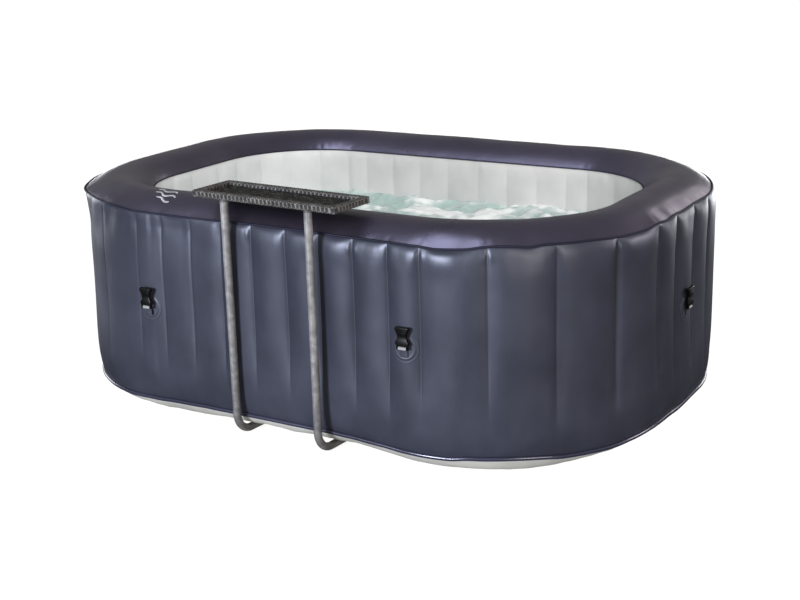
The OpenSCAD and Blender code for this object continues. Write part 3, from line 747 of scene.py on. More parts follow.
# the sheet rolls under sooner on the left and stands out further at the front right
FLARE = 1.0 + (0.22 + 0.62 * smooth(-0.15, -0.60, ex)) * smooth(0.42, 0.25, ex) * smooth(-0.1, -0.4, ey) - 0.26 * np.exp(-((ex - 0.64) / 0.17) ** 2) * smooth(-0.2, -0.5, ey) + 1.0 * smooth(0.76, 0.90, ex)
_lx, _ly = to_stand(ex, ey)
FLARE = FLARE - 0.30 * np.exp(-(np.minimum(np.abs(_lx - GAP / 2), np.abs(_lx + GAP / 2)) / 0.045) ** 2) * smooth(-0.2, -0.5, ey)
for off, z in base_pts:
    r = R - 0.016 + (off + 0.016) * FLARE
    p = plan(r)
    lx, ly = to_stand(p[:, 0], p[:, 1])
    zz = np.full(NC, z)
    f = smooth(0.0, 0.044, z)
    zz = zz + (BSEAM_Z - 0.044) * f
    soft = smooth(0.2 * MM, 8 * MM, z) * (1 - smooth(36 * MM, 43 * MM, z))
    zz = zz + 0.0014 * soft * vnoise(SB * 13.0, off * 40, 5.0) + 0.0009 * soft * vnoise(SB * 37.0, off * 60, 8.0)
    # lifted by the runners, most between and beside them
    d = np.maximum(np.minimum(np.abs(lx - GAP / 2), np.abs(lx + GAP / 2)) - TUBE_R, 0)
    near = np.exp(-(d / 0.16) ** 2)
    front = (p[:, 1] < 0) * (1 - smooth(0.0, 0.14, ly - 0.10))
    zz = zz + 0.015 * near * front * (1 - smooth(0.0, 0.040, z))
    tube_top = 2 * TUBE_R + 0.0022
    g = np.clip(1 - np.abs(np.abs(lx) - GAP / 2) / 0.030, 0, 1)
    g = smooth(0.0, 0.62, g)
    run = (ly < 0.232) * (p[:, 1] < 0)
    zz = np.maximum(zz, tube_top * g * run)
    rows.append((r, zz))
pts = np.stack([np.concatenate([plan(r), z[:, None]], 1) for r, z in rows], 1)
nr = len(rows)
faces = grid_faces(NC, nr, True, False).tolist()
faces.append([i * nr + nr - 1 for i in range(NC)])
faces.append([i * nr for i in range(NC)][::-1])
base = new_mesh("base_sheet", pts.reshape(-1, 3), faces)
for p in base.data.polygons:
    if len(p.vertices) > 4:
        p.use_smooth = False
put(base, BASE, "tub", ["base_skin"])

# ------------------------------------------------------------------ webs, hidden in the wall
wb = Builder()
zs_ = np.linspace(0.13, 0.548, 12)
for k in range(NP):
    f, n = station(np.array([creases[k]]))
    f, n = f[0], n[0]
    tvec = np.array([-n[1], n[0]])
    ring = []
    out_r = pchip(zk, rk, zs_) - 0.0085
    in_r = pchip(zl, rlk, zs_) + 0.0030
    for sgn in (-1, 1):
        o = f + n * out_r[:, None] + sgn * tvec * 0.0006
        i = f + n * in_r[:, None] + sgn * tvec * 0.0006
        ring.append(np.concatenate([np.c_[o, zs_], np.c_[i, zs_][::-1]]))
    a, b = ring
    m = len(a)
    fs = [tuple(range(m))[::-1], tuple(range(m, 2 * m))]
    fs += [(i, (i + 1) % m, m + (i + 1) % m, m + i) for i in range(m)]
    wb.add(np.concatenate([a, b]), fs)
put(wb.make("inner_webs", False), WEBFAB, "tub", ["wall_webs"])

# ------------------------------------------------------------------ water, with the bubbling surface
STEP = 0.0075
gx = np.arange(-0.72, 0.7201, STEP)
gy = np.arange(-0.45, 0.4501, STEP)
GX, GY = np.meshgrid(gx, gy, indexing="ij")


def boil(x, y):
    wx = x + 0.05 * vnoise(x * 5, y * 5, 31.0)
    wy = y + 0.05 * vnoise(x * 5, y * 5, 47.0)
    a = fbm(wx * 5.2, wy * 5.2, 0.7, 4)
    ridge = 1 - np.abs(fbm(wx * 8.0, wy * 8.0, 6.1, 3)) * 2.2
    b = vnoise(x * 26, y * 26, 9.0)
    return 0.452 + 0.034 * a + 0.016 * ridge + 0.0032 * b + 0.0016 * vnoise(x * 60, y * 60, 2.0)


H = boil(GX, GY)
foam = fbm(GX * 9.0 + 3, GY * 9.0, 14.0, 4) * 0.9 + (H - 0.458) * 26 + 0.25 * vnoise(GX * 40, GY * 40, 3.0)
foam = smooth(-0.25, 0.75, foam)
dxp, dyp = np.maximum(np.abs(GX) - CX, 0), np.maximum(np.abs(GY) - CY, 0)
rad = np.hypot(dxp, dyp)
RW = R - 0.2125
inside = (rad < RW + STEP) & (np.abs(GX) < CX + RW + STEP) & (np.abs(GY) < CY + RW + STEP)
scale_ = np.where(rad > RW, RW / np.maximum(rad, 1e-9), 1)
PX = np.where(rad > RW, np.sign(GX) * (np.minimum(np.abs(GX), CX) + dxp * scale_), GX)
PY = np.where(rad > RW, np.sign(GY) * (np.minimum(np.abs(GY), CY) + dyp * scale_), GY)
nx_, ny_ = GX.shape
cell = inside[:-1, :-1] & inside[1:, :-1] & inside[1:, 1:] & inside[:-1, 1:]
ids = np.arange(nx_ * ny_).reshape(nx_, ny_)
I, J = np.nonzero(cell)
top = np.stack([ids[I, J], ids[I + 1, J], ids[I + 1, J + 1], ids[I, J + 1]], 1)
used = np.unique(top)
remap = -np.ones(nx_ * ny_, int)
remap[used] = np.arange(len(used))
top = remap[top]
vt = np.stack([PX.ravel()[used], PY.ravel()[used], H.ravel()[used]], 1)
# edges used once are the shore
e = np.concatenate([top[:, [0, 1]], top[:, [1, 2]], top[:, [2, 3]], top[:, [3, 0]]])
key = np.sort(e, 1)
_, inv, cnt = np.unique(key, axis=0, return_inverse=True, return_counts=True)
shore = e[cnt[inv.ravel()] == 1]
n0 = len(vt)
bottom = vt.copy()
cxy = np.stack([np.clip(vt[:, 0], -CX, CX), np.clip(vt[:, 1], -CY, CY)], 1)
dv = vt[:, :2] - cxy
dl = np.maximum(np.linalg.norm(dv, axis=1), 1e-9)
shrink = np.minimum(1, (R - 0.262 - 0.006) / dl)
bottom[:, :2] = cxy + dv * shrink[:, None]
bottom[:, 2] = 0.062
# sides: from the shore down to a slightly smaller bottom, inside the liner and clear of the bubble ring
b_ids = {int(v): i for i, v in enumerate(np.unique(shore))}
bl = np.array(sorted(b_ids))
vb = bottom[bl].copy()
faces = [tuple(q) for q in top.tolist()]
for a, b in shore.tolist():
    faces.append((b, a, n0 + b_ids[a], n0 + b_ids[b]))
# order the shore loop for the bottom face
nxt = {int(a): int(b) for a, b in shore.tolist()}
loop = [int(shore[0, 0])]
while True:
    q = nxt[loop[-1]]
    if q == loop[0]:
        break
    loop.append(q)
faces.append(tuple(n0 + b_ids[v] for v in loop)[::-1])
water = new_mesh("water", np.concatenate([vt, vb]), faces)
att = water.data.attributes.new("foam", "FLOAT", "POINT")
fv = np.concatenate([foam.ravel()[used], np.zeros(len(vb))]).astype(np.float32)
att.data.foreach_set("value", fv)
m, nt, b = principled("bubbling_water", srgb(186, 214, 210), 0.12)
b.inputs["IOR"].default_value = 1.33
b.inputs["Specular IOR Level"].default_value = 0.5
at = node(nt, "ShaderNodeAttribute", attribute_name="foam")
v = coords(nt)
bub = node(nt, "ShaderNodeTexVoronoi", feature="F1", Scale=150.0, Randomness=1.0)
nt.links.new(v, bub.inputs["Vector"])
fine = node(nt, "ShaderNodeTexNoise", Scale=70.0, Detail=5.0, Roughness=0.65)
nt.links.new(v, fine.inputs["Vector"])
mix = node(nt, "ShaderNodeMath", operation="MULTIPLY_ADD")
mix.inputs[1].default_value = 0.55
nt.links.new(fine.outputs["Fac"], mix.inputs[0])
nt.links.new(at.outputs["Fac"], mix.inputs[2])
nt.links.new(ramp(nt, mix.outputs[0], [(0.15, srgb(146, 170, 166)), (0.42, srgb(170, 187, 184)), (0.72, srgb(196, 205, 204)), (1.0, srgb(222, 226, 226))]), b.inputs["Base Color"])
rough_from(nt, b, at.outputs["Fac"], 0.08, 0.5)
bump(nt, b, bub.outputs["Distance"], 0.35, 0.002)
WATER = m
put(water, WATER, "tub")

# ------------------------------------------------------------------ a small printed wave mark on the rim, made up for this part
def rim_point(x, y, lift):
    """A point just above the rim's outer half, near a place given in plan."""
    cx_, cy_ = np.clip(x, -CX, CX), np.clip(y, -CY, CY)
    dx_, dy_ = x - cx_, y - cy_
    r_ = np.hypot(dx_, dy_)
    # find s on the plan
    ang_ = np.degrees(np.arctan2(dy_, dx_))
    s_ = np.where((x < -CX) & (y < -CY), S0[7] + R * np.radians(ang_ + 180), np.where(y < -CY, S0[0] + CX + x, S0[6]))
    order = np.argsort(cols_s)
    ss_ = cols_s[order]
    zrow = np.array([row[1][order] for row in rim_outer])
    rrow = np.array([row[0][order] for row in rim_outer])
    ci = np.clip(np.searchsorted(ss_, s_ % TOTAL) - 1, 0, NC - 2)
    tt_ = np.clip((s_ % TOTAL - ss_[ci]) / (ss_[ci + 1] - ss_[ci]), 0, 1)
    at_col = lambda c: np.array([np.interp(-rv, -rrow[:, q], zrow[:, q]) for rv, q in zip(r_.ravel(), c.ravel())]).reshape(r_.shape)
    z_ = at_col(ci) * (1 - tt_) + at_col(ci + 1) * tt_
    return np.stack([x, y, z_ + lift], -1)


mk = Builder()
MX, MY = -0.448, -0.562
for row_, (length, amp, waves, dy0, x0) in enumerate(((0.084, 0.0052, 1.5, 0.018, 0.0), (0.084, 0.0052, 1.5, -0.001, 0.012), (0.056, 0.0040, 1.0, -0.019, 0.034))):
    n_ = 60
    q = np.linspace(0, 1, n_)
    lx_ = x0 + length * q
    ly_ = dy0 + amp * np.sin(2 * np.pi * waves * q)
    wd = 0.0029 * np.sqrt(np.clip(1 - (2 * q - 1) ** 8, 0.04, 1))
    tx_, ty_ = np.gradient(lx_), np.gradient(ly_)
    tl_ = np.hypot(tx_, ty_)
    nx2, ny2 = -ty_ / tl_, tx_ / tl_
    ca_, sa_ = math.cos(math.radians(-12)), math.sin(math.radians(-12))
    rg = []
    for a_, l_ in ((1, -0.0004), (1, 0.0007), (-1, 0.0007), (-1, -0.0004)):
        ax, ay = lx_ + a_ * wd * nx2, ly_ + a_ * wd * ny2
        rg.append(rim_point(MX + ca_ * ax - sa_ * ay, MY + sa_ * ax + ca_ * ay, l_))
    rg = np.stack(rg, 1)
    v_, f_ = loft(rg)
    mk.add(v_, f_)
mark = mk.make("rim_print")
PRINT = plastic("rim_print", srgb(150, 152, 158), srgb(182, 184, 190), 0.45)
put(mark, PRINT, "tub")

# ------------------------------------------------------------------ buckles, straps and patches
BZ = 0.333
places = [("buckle_front_left", -0.421, -CY, 180), ("buckle_front_right", 0.421, -CY, 180), ("buckle_right_end", CX, 0, -90),
          ("buckle_left_end", -CX, 0, 90), ("buckle_back_left", -0.421, CY, 0), ("buckle_back_right", 0.421, CY, 0)]


def local_frame(px, py, deg):
    a = math.radians(deg)
    ca, sa = math.cos(a), math.sin(a)

    def f(p):
        p = np.asarray(p, float)
        return np.stack([px + ca * p[..., 0] - sa * p[..., 1], py + sa * p[..., 0] + ca * p[..., 1], BZ + p[..., 2]], -1)
    return f


def s_of(px, py, deg):
    if deg == 180:
        return S0[0] + CX + px
    if deg == 0:
        return S0[4] + CX - px
    if deg == -90:
        return S0[2] + CY
    return S0[6] + CY


def face_at(s, z):
    """The outer wall's face distance at any place s and height z."""
    s = np.asarray(s, float) % TOTAL
    z = np.asarray(z, float)
    order = np.argsort(cols_s)
    out = np.zeros(np.broadcast(s, z).shape)
    zs = np.linspace(z.min() - 0.004, z.max() + 0.004, 40)
    table = np.stack([wall_r(zz)[order] for zz in zs], 1)
    ss = cols_s[order]
    i = np.clip(np.searchsorted(ss, s) - 1, 0, len(ss) - 2)
    t = (s - ss[i]) / (ss[i + 1] - ss[i])
    j = np.clip(((z - zs[0]) / (zs[1] - zs[0])).astype(int), 0, len(zs) - 2)
    q = (z - zs[j]) / (zs[1] - zs[0])
    return (table[i, j] * (1 - t) * (1 - q) + table[i + 1, j] * t * (1 - q) + table[i, j + 1] * (1 - t) * q + table[i + 1, j + 1] * t * q)


rad_prof = np.array([(0.0, 1.7), (8, 1.75), (16, 1.8), (22, 1.85), (25.5, 1.95), (27.2, 2.3), (28.4, 2.5), (29.6, 2.3), (30.8, 1.5), (32.5, 1.05), (35.5, 1.0), (37.2, 1.1), (38.2, 1.3), (38.9, 1.1), (39.4, 0.4), (39.6, -1.2)]) * MM
NA = 72
for name, px, py, deg in places:
    s0 = s_of(px, py, deg)
    ang = np.arange(NA) * 2 * np.pi / NA
    rings = []
    for rr, hh in rad_prof[1:]:
        s = s0 + rr * np.cos(ang)
        z = BZ - 0.002 + rr * np.sin(ang)
        f, n = station(s)
        w = face_at(s, z) + hh
        rings.append(np.c_[f + n * w[:, None], z])
    f, n = station(np.array([s0]))
    w = face_at(np.array([s0]), np.array([BZ - 0.002])) + rad_prof[0, 1]
    cpt = np.r_[(f + n * w[:, None])[0], BZ - 0.002]
    back_pt = np.r_[(f + n * (w[:, None] - 0.004))[0], BZ - 0.002]
    nrg = len(rings)
    verts = np.concatenate([np.concatenate(rings), [cpt], [back_pt]])
    faces = grid_faces(nrg, NA, False, True).tolist()
    ci, bi = nrg * NA, nrg * NA + 1
    faces += [(ci, (i + 1) % NA, i) for i in range(NA)]
    faces += [(bi, (nrg - 1) * NA + i, (nrg - 1) * NA + (i + 1) % NA) for i in range(NA)]
    p = new_mesh("patch_" + name[7:], verts, faces)
    put(p, PATCH, "tub")
    if name == "buckle_front_left":
        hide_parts("buckle_patches")

half = np.array([(16.0, 6.0), (17.8, 9), (19.4, 12.5), (19.6, 15), (17.8, 19.5), (15.2, 24), (13.8, 28.5), (13.6, 32), (14.6, 37), (16.6, 42.5), (19.2, 47.5), (20.3, 51), (20.3, 53.5), (19.9, 55.2), (19.2, 56.0)]) * MM


def buckle_mesh(name, to_world):
    bd = Builder()
    hy = R + 0.0086
    zz = np.linspace(half[0, 1], half[-1, 1], 46)
    hw = catmull(half[:, 1], half[:, 0], zz)
    rings = []
    for z, w in zip(zz, hw):
        th = 0.0055 - 0.0014 * math.exp(-((z - 0.031) / 0.009) ** 2)
        edge = min(1.0, (z - zz[0]) / 0.002, (zz[-1] - z) / 0.0016)
        k = 1 - 0.16 * (1 - math.sqrt(max(0, 1 - (1 - edge) ** 2)))
        c = rrect(w * (1 - (1 - k) * 0.35), th * k, 0.0026, 5)
        # the body is a little thinner at the waist
        rings.append(np.c_[c[:, 0], c[:, 1] + hy, np.full(len(c), z)])
    # mouth: turn in at the top and go down
    for z, w, t in ((0.0562, 0.0176, 0.0044), (0.0556, 0.0168, 0.0036), (0.050, 0.0162, 0.0033), (0.036, 0.0120, 0.0031), (0.024, 0.0112, 0.0030)):
        c = rrect(w, t, 0.0016, 5)
        rings.append(np.c_[c[:, 0], c[:, 1] + hy, np.full(len(c), z)])
    v_, f_ = loft(rings)
    bd.add(to_world(v_), f_)
    # ribs across the outer face, for grip
    for z, w in ((0.0405, 0.011), (0.0445, 0.0125), (0.0485, 0.014)):
        c = rrect(w, 0.0008, 0.0007, 3)
        rg = [np.c_[c[:, 0] * q, np.full(len(c), hy + 0.0050 + h), z + c[:, 1] * q] for q, h in ((1.0, -0.0008), (1.0, 0.0003), (0.93, 0.0008), (0.75, 0.0010))]
        v_, f_ = loft(rg)
        bd.add(to_world(v_), f_)
    # the two side lobes that carry the bar
    for sx in (-1, 1):
        rg = []
        for z, q in ((-0.0034, 0.55), (-0.0029, 0.85), (-0.0018, 1.0), (0.004, 1.0), (0.010, 1.0), (0.014, 1.0)):
            c = rrect(0.0021 * q, 0.0046 * q, 0.0014 * q, 4)
            rg.append(np.c_[c[:, 0] + sx * 0.0148, c[:, 1] + hy, np.full(len(c), z)])
        v_, f_ = loft(rg)
        bd.add(to_world(v_), f_)
    # lower shoulder, which closes the lobes to the body
    rg = []
    for z, w, t in ((0.0086, 0.0163, 0.0040), (0.0090, 0.0166, 0.0050), (0.0098, 0.0170, 0.0054), (0.013, 0.0180, 0.0054), (0.018, 0.0160, 0.0050)):
        c = rrect(w, t, 0.0022, 5)
        rg.append(np.c_[c[:, 0], c[:, 1] + hy, np.full(len(c), z)])
    v_, f_ = loft(rg)
    bd.add(to_world(v_), f_)
    # the bar
    n = 20
    a = np.arange(n) * 2 * np.pi / n
    rg = [np.c_[np.full(n, x), hy + 0.0025 * q * np.cos(a), 0.0025 * q * np.sin(a)] for x, q in ((-0.0156, 0.7), (-0.0150, 1), (0.0150, 1), (0.0156, 0.7))]
    v_, f_ = loft(rg)
    bd.add(to_world(v_), f_)
    return bd.make(name)


def ribbon_path(mid, half_w, thick, to_world, name, steps=48):
    mid = np.array(mid)
    ln_ = np.concatenate([[0], np.cumsum(np.hypot(*np.diff(mid, axis=0).T))])
    q = np.linspace(0, ln_[-1], steps)
    y, z = np.interp(q, ln_, mid[:, 0]), np.interp(q, ln_, mid[:, 1])
    for _ in range(2):
        y[1:-1] = (y[:-2] + 2 * y[1:-1] + y[2:]) / 4
        z[1:-1] = (z[:-2] + 2 * z[1:-1] + z[2:]) / 4
    ty, tz = np.gradient(y), np.gradient(z)
    l_ = np.hypot(ty, tz)
    ny, nz = -tz / l_, ty / l_
    rg = []
    c = rrect(half_w, thick, min(thick, half_w) * 0.9, 3)
    for i in range(steps):
        rg.append(np.c_[c[:, 0], y[i] + ny[i] * c[:, 1], z[i] + nz[i] * c[:, 1]])
    v_, f_ = loft(rg)
    bd = Builder()
    bd.add(to_world(v_), f_)
    return bd.make(name)


def strap_meshes(name, to_world):
    """A short tab welded on the patch and the loop that holds the buckle's bar."""
    hy = R + 0.0086
    tab = ribbon_path([(R + 0.0022, -0.0250), (R + 0.0024, -0.0150), (R + 0.0027, -0.0080), (R + 0.0034, -0.0042)], 0.0113, 0.00055, to_world, "tab_" + name, 14)
    path = [(hy + 0.0037 * math.cos(math.radians(a)), 0.0037 * math.sin(math.radians(a))) for a in np.linspace(-128, 196, 30)]
    loop = ribbon_path([(R + 0.0036, -0.0046), (R + 0.0046, -0.0042)] + path + [(R + 0.0042, -0.0012), (R + 0.0034, -0.0036)], 0.0116, 0.0006, to_world, "loop_" + name)
    return tab, loop


for name, px, py, deg in places:
    f = local_frame(px, py, deg)
    b_ = buckle_mesh(name + "_shell", f)
    put(b_, BLACK, name, [name])
    tab, loop = strap_meshes(name[7:], f)
    put(tab, PATCH, "tub")
    put(loop, WEBBING, "tub")
    if name == "buckle_front_left":
        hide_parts("webbing_loops")

# ------------------------------------------------------------------ tray: cane-wound frame and woven floor
tl, th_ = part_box("tray_frame")
TL, TD, TT = 0.476, 0.152, 0.692
TB = TT - 0.020
FR = -0.016


def from_stand(p):
    p = np.asarray(p, float)
    c, s = math.cos(YAW), math.sin(YAW)
    return np.stack([ST.x + c * p[..., 0] - s * p[..., 1], ST.y + s * p[..., 0] + c * p[..., 1], p[..., 2]], -1)


def bar_section(n=7):
    """Section of the frame's bar, about its own middle: x across, z up."""
    return rrect(0.0088, 0.0096, 0.0046, n)


sec = bar_section()
NSEC = len(sec)
fw, fd = TL / 2 - 0.0092, TD / 2 - 0.0092
PITCH = 0.0066
corners = [(-fw, -fd), (fw, -fd), (fw, fd), (-fw, fd)]
ringv = []
for i in range(4):
    a, b = np.array(corners[i]), np.array(corners[(i + 1) % 4])
    L_ = np.linalg.norm(b - a)
    d = (b - a) / L_
    nrm_ = np.array([d[1], -d[0]])          # outwards
    n_ = int(L_ / 0.0011)
    turns = round(L_ / PITCH)
    for j in range(n_ + 1):
        t = j / n_
        x = t * L_
        # mitre: the section is sheared at both ends
        for_end = 0.0105
        q = a + d * x
        ph = t * turns
        for_row = []
        for (cx_, cz_) in sec:
            slant = 0.22 * (cz_ / 0.0096)
            wv = abs(math.sin(math.pi * (ph + slant)))
            # wound strips over four canes laid along the bar
            lay = abs(math.sin(math.pi * (math.atan2(cz_, cx_) / (2 * math.pi) * 12 + 0.5 * (int(ph + slant) % 2))))
            bulge = (wv ** 0.45 - 0.78) * 0.00070 + (lay ** 0.5 - 0.8) * 0.00080
            rr_ = math.hypot(cx_, cz_)
            ox, oz = cx_ + bulge * cx_ / rr_ * 1.3, cz_ + bulge * cz_ / rr_ * 1.3
            # mitre shift along the bar
            sh = 0.0
            if x < for_end:
                sh = -ox * (1 - x / for_end)
            elif x > L_ - for_end:
                sh = ox * (1 - (L_ - x) / for_end)
            w_ = q + nrm_ * ox + d * sh
            for_row.append((w_[0], w_[1] + FR + TD / 2, TT - 0.0098 + oz, wv * lay ** 0.7))
        ringv.append(for_row)
ringv = np.array(ringv)
pts = from_stand(ringv[..., :3])
tray = new_mesh("tray_rim", pts.reshape(-1, 3), grid_faces(len(ringv), NSEC).tolist())
# strip attribute: painted shade, lowest in the grooves between turns and canes
at_ = tray.data.attributes.new("strip", "FLOAT", "POINT")
at_.data.foreach_set("value", (0.2 + 0.8 * ringv[..., 3].reshape(-1) ** 0.6).astype(np.float32))
put(tray, RATTAN, "tray_stand", ["tray_frame"])

# woven floor
wv_b = Builder()
strip_vals = []
inx, iny = TL / 2 - 0.0155, TD / 2 - 0.0155
p_ = 0.0072
nxs, nys = int(2 * inx / p_), int(2 * iny / p_)
px_, py_ = 2 * inx / nxs, 2 * iny / nys
zf = TB + 0.0086


def ribbon(along_x, idx):
    n_cross = nxs if along_x else nys
    pc = px_ if along_x else py_
    half_l = inx if along_x else iny
    c0 = (-iny + (idx + 0.5) * py_) if along_x else (-inx + (idx + 0.5) * px_)
    wdt = (py_ if along_x else px_) * 0.40
    m_ = n_cross * 6
    t = np.linspace(-half_l, half_l, m_ + 1)
    ph = (t + half_l) / pc
    sgn = 1 if (idx % 2 == 0) == along_x else -1
    z = 0.00085 * sgn * np.cos(np.pi * (ph - 0.5)) if False else 0.00085 * sgn * np.sin(np.pi * ph)
    c = rrect(wdt, 0.00055, 0.0005, 2)
    rg = []
    for i in range(len(t)):
        if along_x:
            rg.append(np.c_[np.full(len(c), t[i]), c0 + c[:, 0], zf + z[i] + c[:, 1] * (1 - 0.35 * (c[:, 0] / wdt) ** 2)])
        else:
            rg.append(np.c_[c0 - c[:, 0], np.full(len(c), t[i]), zf + z[i] + c[:, 1] * (1 - 0.35 * (c[:, 0] / wdt) ** 2)])
    rg = np.array(rg)
    rg[..., 1] += FR + TD / 2
    v_, f_ = loft(rg)
    strip_vals.extend((0.25 + 0.75 * (np.repeat(z * 1.0, len(c)) / 0.0017 + 0.5)).tolist())
    wv_b.add(from_stand(v_), f_)


for i in range(nys):
    ribbon(True, i)
for i in range(nxs):
    ribbon(False, i)
floor_w = wv_b.make("tray_weave")
# strip attribute: painted shade, lowest where a ribbon dips under its neighbour
at_ = floor_w.data.attributes.new("strip", "FLOAT", "POINT")
at_.data.foreach_set("value", np.array(strip_vals, np.float32))
put(floor_w, RATTAN_FLOOR, "tray_stand", ["tray_floor"])
# thin dark pan under the weave; its strip of 0 gives it the weave's darkest tone, painted shade seen through the gaps
c = rrect(inx + 0.001, iny + 0.001, 0.003, 3)
rg = [np.c_[c[:, 0] * q, c[:, 1] * q + FR + TD / 2, np.full(len(c), z)] for z, q in ((TB + 0.0040, 0.996), (TB + 0.0044, 1.0), (TB + 0.0060, 1.0), (TB + 0.0064, 0.998))]
bd = Builder()
v_, f_ = loft(rg)
bd.add(from_stand(v_), f_)
pan = bd.make("tray_pan", False)
at_ = pan.data.attributes.new("strip", "FLOAT", "POINT")
at_.data.foreach_set("value", np.zeros(len(pan.data.vertices), np.float32))
put(pan, RATTAN_FLOOR, "tray_stand")

# ------------------------------------------------------------------ carried-over CAD nodes: materials
mats = {
    "floor_liner": LINER, "floor_foam": FOAM, "bubble_ring": GREY, "air_duct": GREY, "water_outlet_port": GREY, "water_inlet_port": GREY, "air_port": GREY,
    "port_lock_nuts": GREY, "port_gaskets": RUBBER, "outlet_diffuser": GREY, "filter_base": GREY, "filter_cage": GREY, "filter_cartridge": WHITE,
    "drain_valve_body": BLACK, "drain_lock_nut": BLACK, "drain_cap_tether": SOFT, "drain_cap": BLACK, "drain_cap_seal": RUBBER,
    "inflation_valve_body": BLACK, "inflation_valve_stem": WHITE, "inflation_valve_seal": RUBBER, "inflation_valve_spring": STEEL,
    "inflation_cap_tether": SOFT, "inflation_cap": BLACK,
    "tray_arms": ARM, "tray_screws": STEEL, "leg_tube_left": TUBE, "leg_tube_right": TUBE, "leg_top_inserts": BLACK, "leg_end_caps": BLACK,
}
for n, m in mats.items():
    ob = NODES[n]
    ob.data.materials.clear()
    ob.data.materials.append(m)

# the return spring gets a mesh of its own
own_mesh(NODES["inflation_valve_spring"])

# ------------------------------------------------------------------ floor and light
fm, fnt, fb = principled("studio_floor", (0.86, 0.86, 0.86), 0.9)
fb.inputs["Specular IOR Level"].default_value = 0.1
fl = new_mesh("studio_floor", [(-40, -40, 0), (40, -40, 0), (40, 60, 0), (-40, 60, 0)], [(0, 1, 2, 3)], False)
fl.data.materials.append(fm)
fl.visible_glossy = False

world = bpy.data.worlds.new("studio")
world.use_nodes = True
wnt = world.node_tree
wbg = wnt.nodes["Background"]
wtc = wnt.nodes.new("ShaderNodeTexCoord")
wsx = wnt.nodes.new("ShaderNodeSeparateXYZ")
wnt.links.new(wtc.outputs["Generated"], wsx.inputs["Vector"])
wmr = wnt.nodes.new("ShaderNodeMapRange")
wmr.inputs["From Min"].default_value = -0.12
wmr.inputs["From Max"].default_value = 0.10
wmr.inputs["To Min"].default_value = 0.12
wmr.inputs["To Max"].default_value = 1.0
wnt.links.new(wsx.outputs["Z"], wmr.inputs["Value"])
wmul = wnt.nodes.new("ShaderNodeMath")
wmul.operation = "MULTIPLY"
wmul.inputs[1].default_value = 0.26
wnt.links.new(wmr.outputs["Result"], wmul.inputs[0])
wnt.links.new(wmul.outputs[0], wbg.inputs["Strength"])
wbg.inputs["Color"].default_value = (1, 0.99, 0.93, 1)
bpy.context.scene.world = world


def light(name, kind, energy, colour, loc=None, target=(0, 0, 0.4), size=1.0, size_y=None, angle=None, direction=None):
    ld = bpy.data.lights.new(name, kind)
    ld.energy = energy
    ld.color = colour
    if kind == "AREA":
        ld.shape = "RECTANGLE"
        ld.size = size
        ld.size_y = size_y or size
    if angle is not None:
        ld.angle = angle
    ob = bpy.data.objects.new(name, ld)
    if direction is not None:
        ob.rotation_euler = Vector(direction).to_track_quat("Z", "Y").to_euler()
        ob.location = Vector(direction) * 6
    else:
        ob.location = loc
        ob.rotation_euler = (Vector(loc) - Vector(target)).to_track_quat("Z", "Y").to_euler()
    bpy.context.scene.collection.objects.link(ob)
    return ob


def from_front(az, el):
    """Direction towards a light: az in degrees from the front's normal, positive to the right; el above the floor."""
    a, e = math.radians(az), math.radians(el)
    return (math.sin(a) * math.cos(e), -math.cos(a) * math.cos(e), math.sin(e))


def group(name, keep):
    c = bpy.data.collections.new(name)
    for ob in bpy.context.scene.objects:
        if ob.type == "MESH" and keep(ob):
            c.objects.link(ob)
    return c


# the pale inside and the floor are lit on their own, so that neither burns out beside the dark sheet
pale = group("pale_inside", lambda o: o.material_slots and o.material_slots[0].material in (LINER, WATER))
only_floor = group("floor_only", lambda o: o is fl)
rim_only = group("rim_only", lambda o: o is rim)
wall_only = group("wall_only", lambda o: o is wall)
not_wall = group("all_but_wall", lambda o: o is not fl and o is not wall and not (o.material_slots and o.material_slots[0].material in (LINER, WATER)))
others = group("all_others", lambda o: o is not fl and not (o.material_slots and o.material_slots[0].material in (LINER, WATER)))

not_rim = group("all_but_rim", lambda o: o is not fl and o is not rim and not (o.material_slots and o.material_slots[0].material in (LINER, WATER)))

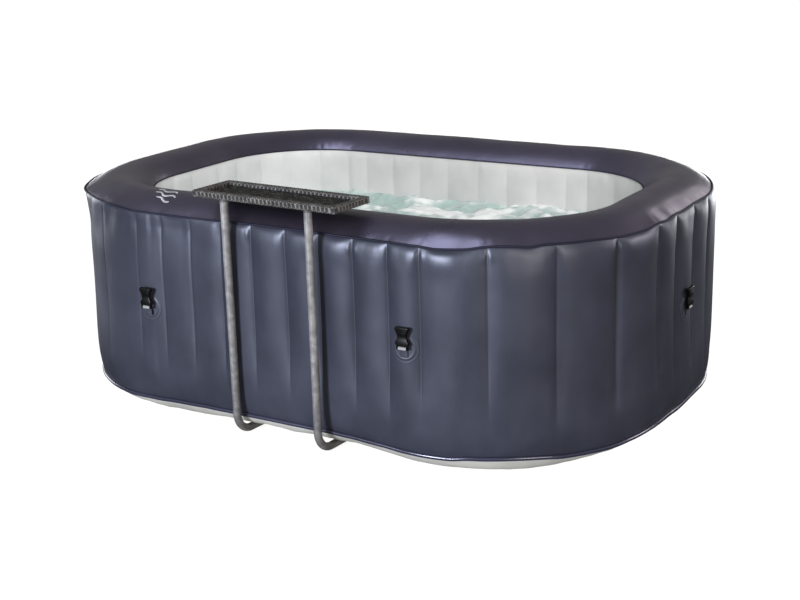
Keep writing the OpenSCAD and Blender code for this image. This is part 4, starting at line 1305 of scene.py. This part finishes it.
LIGHTS = [
    ("key", 5.0, (0.885, 0.93, 1.03), (-11, 11), 16, not_rim),
    ("rim_key", 4.5, (0.90, 0.93, 1.0), (-9, 16), 64, rim_only),
    ("side", 1.36, (1.0, 0.92, 0.78), (50, 12), 24, not_rim),
    ("rim_side", 1.5, (1.0, 0.92, 0.80), (58, 22), 64, rim_only),
    ("left", 0.85, (0.93, 0.96, 1.0), (-100, 4), 26, others),
    ("left_back", 0.6, (0.95, 0.97, 1.0), (-121, 6), 26, wall_only),
    ("side_back", 1.5, (1.0, 0.90, 0.93), (125, 17), 24, others),
    ("back", 0.26, (1.0, 0.90, 0.98), (171, 18), 20, not_wall),
    ("sheen", 1.8, (0.72, 0.75, 1.0), (-30, 61), 24, rim_only),
    ("inside", 3.2, (1.0, 0.985, 0.99), (40, 48), 60, pale),
]
for name, energy, colour, at, wide, where in LIGHTS:
    lamp = light(name, "SUN", energy, colour, direction=from_front(*at), angle=math.radians(wide))
    lamp.light_linking.receiver_collection = where
for name, energy, loc, size in (("back_fill", 55, (0, 3.0, 0.30), 4.0), ("left_fill", 16, (-3.0, 1.6, 0.30), 2.0)):
    lamp = light(name, "AREA", energy, (0.95, 0.97, 1.0), loc=loc, target=(0, 0, 0.30), size=size, size_y=0.5)
    lamp.visible_camera = False
    lamp.light_linking.receiver_collection = others
over = light("overhead", "SUN", 3.3, (1.0, 1.0, 0.99), direction=(0, 0, 1), angle=math.radians(60))
over.light_linking.receiver_collection = only_floor
over.light_linking.blocker_collection = only_floor

# a plain white backdrop all round, seen by the camera only, so that low views have no horizon
bm_ = bpy.data.materials.new("studio_backdrop")
bm_.use_nodes = True
bn_ = bm_.node_tree.nodes
bn_.remove(bn_["Principled BSDF"])
be_ = bn_.new("ShaderNodeEmission")
be_.inputs["Color"].default_value = (1, 1, 1, 1)
be_.inputs["Strength"].default_value = 1.0
bm_.node_tree.links.new(be_.outputs["Emission"], bn_["Material Output"].inputs["Surface"])
_n = 48
_a = np.linspace(0, 2 * np.pi, _n, endpoint=False)
_ring = np.stack([36 * np.cos(_a), 36 * np.sin(_a)], 1)
_pts = np.concatenate([np.c_[_ring, np.full(_n, -0.2)], np.c_[_ring, np.full(_n, 40.0)]])
drop = new_mesh("studio_backdrop", _pts.tolist(), [(i, (i + 1) % _n, _n + (i + 1) % _n, _n + i) for i in range(_n)], False)
drop.data.materials.append(bm_)
drop.visible_diffuse = drop.visible_glossy = drop.visible_transmission = drop.visible_volume_scatter = drop.visible_shadow = False

# ------------------------------------------------------------------ final update
bpy.context.view_layer.update()
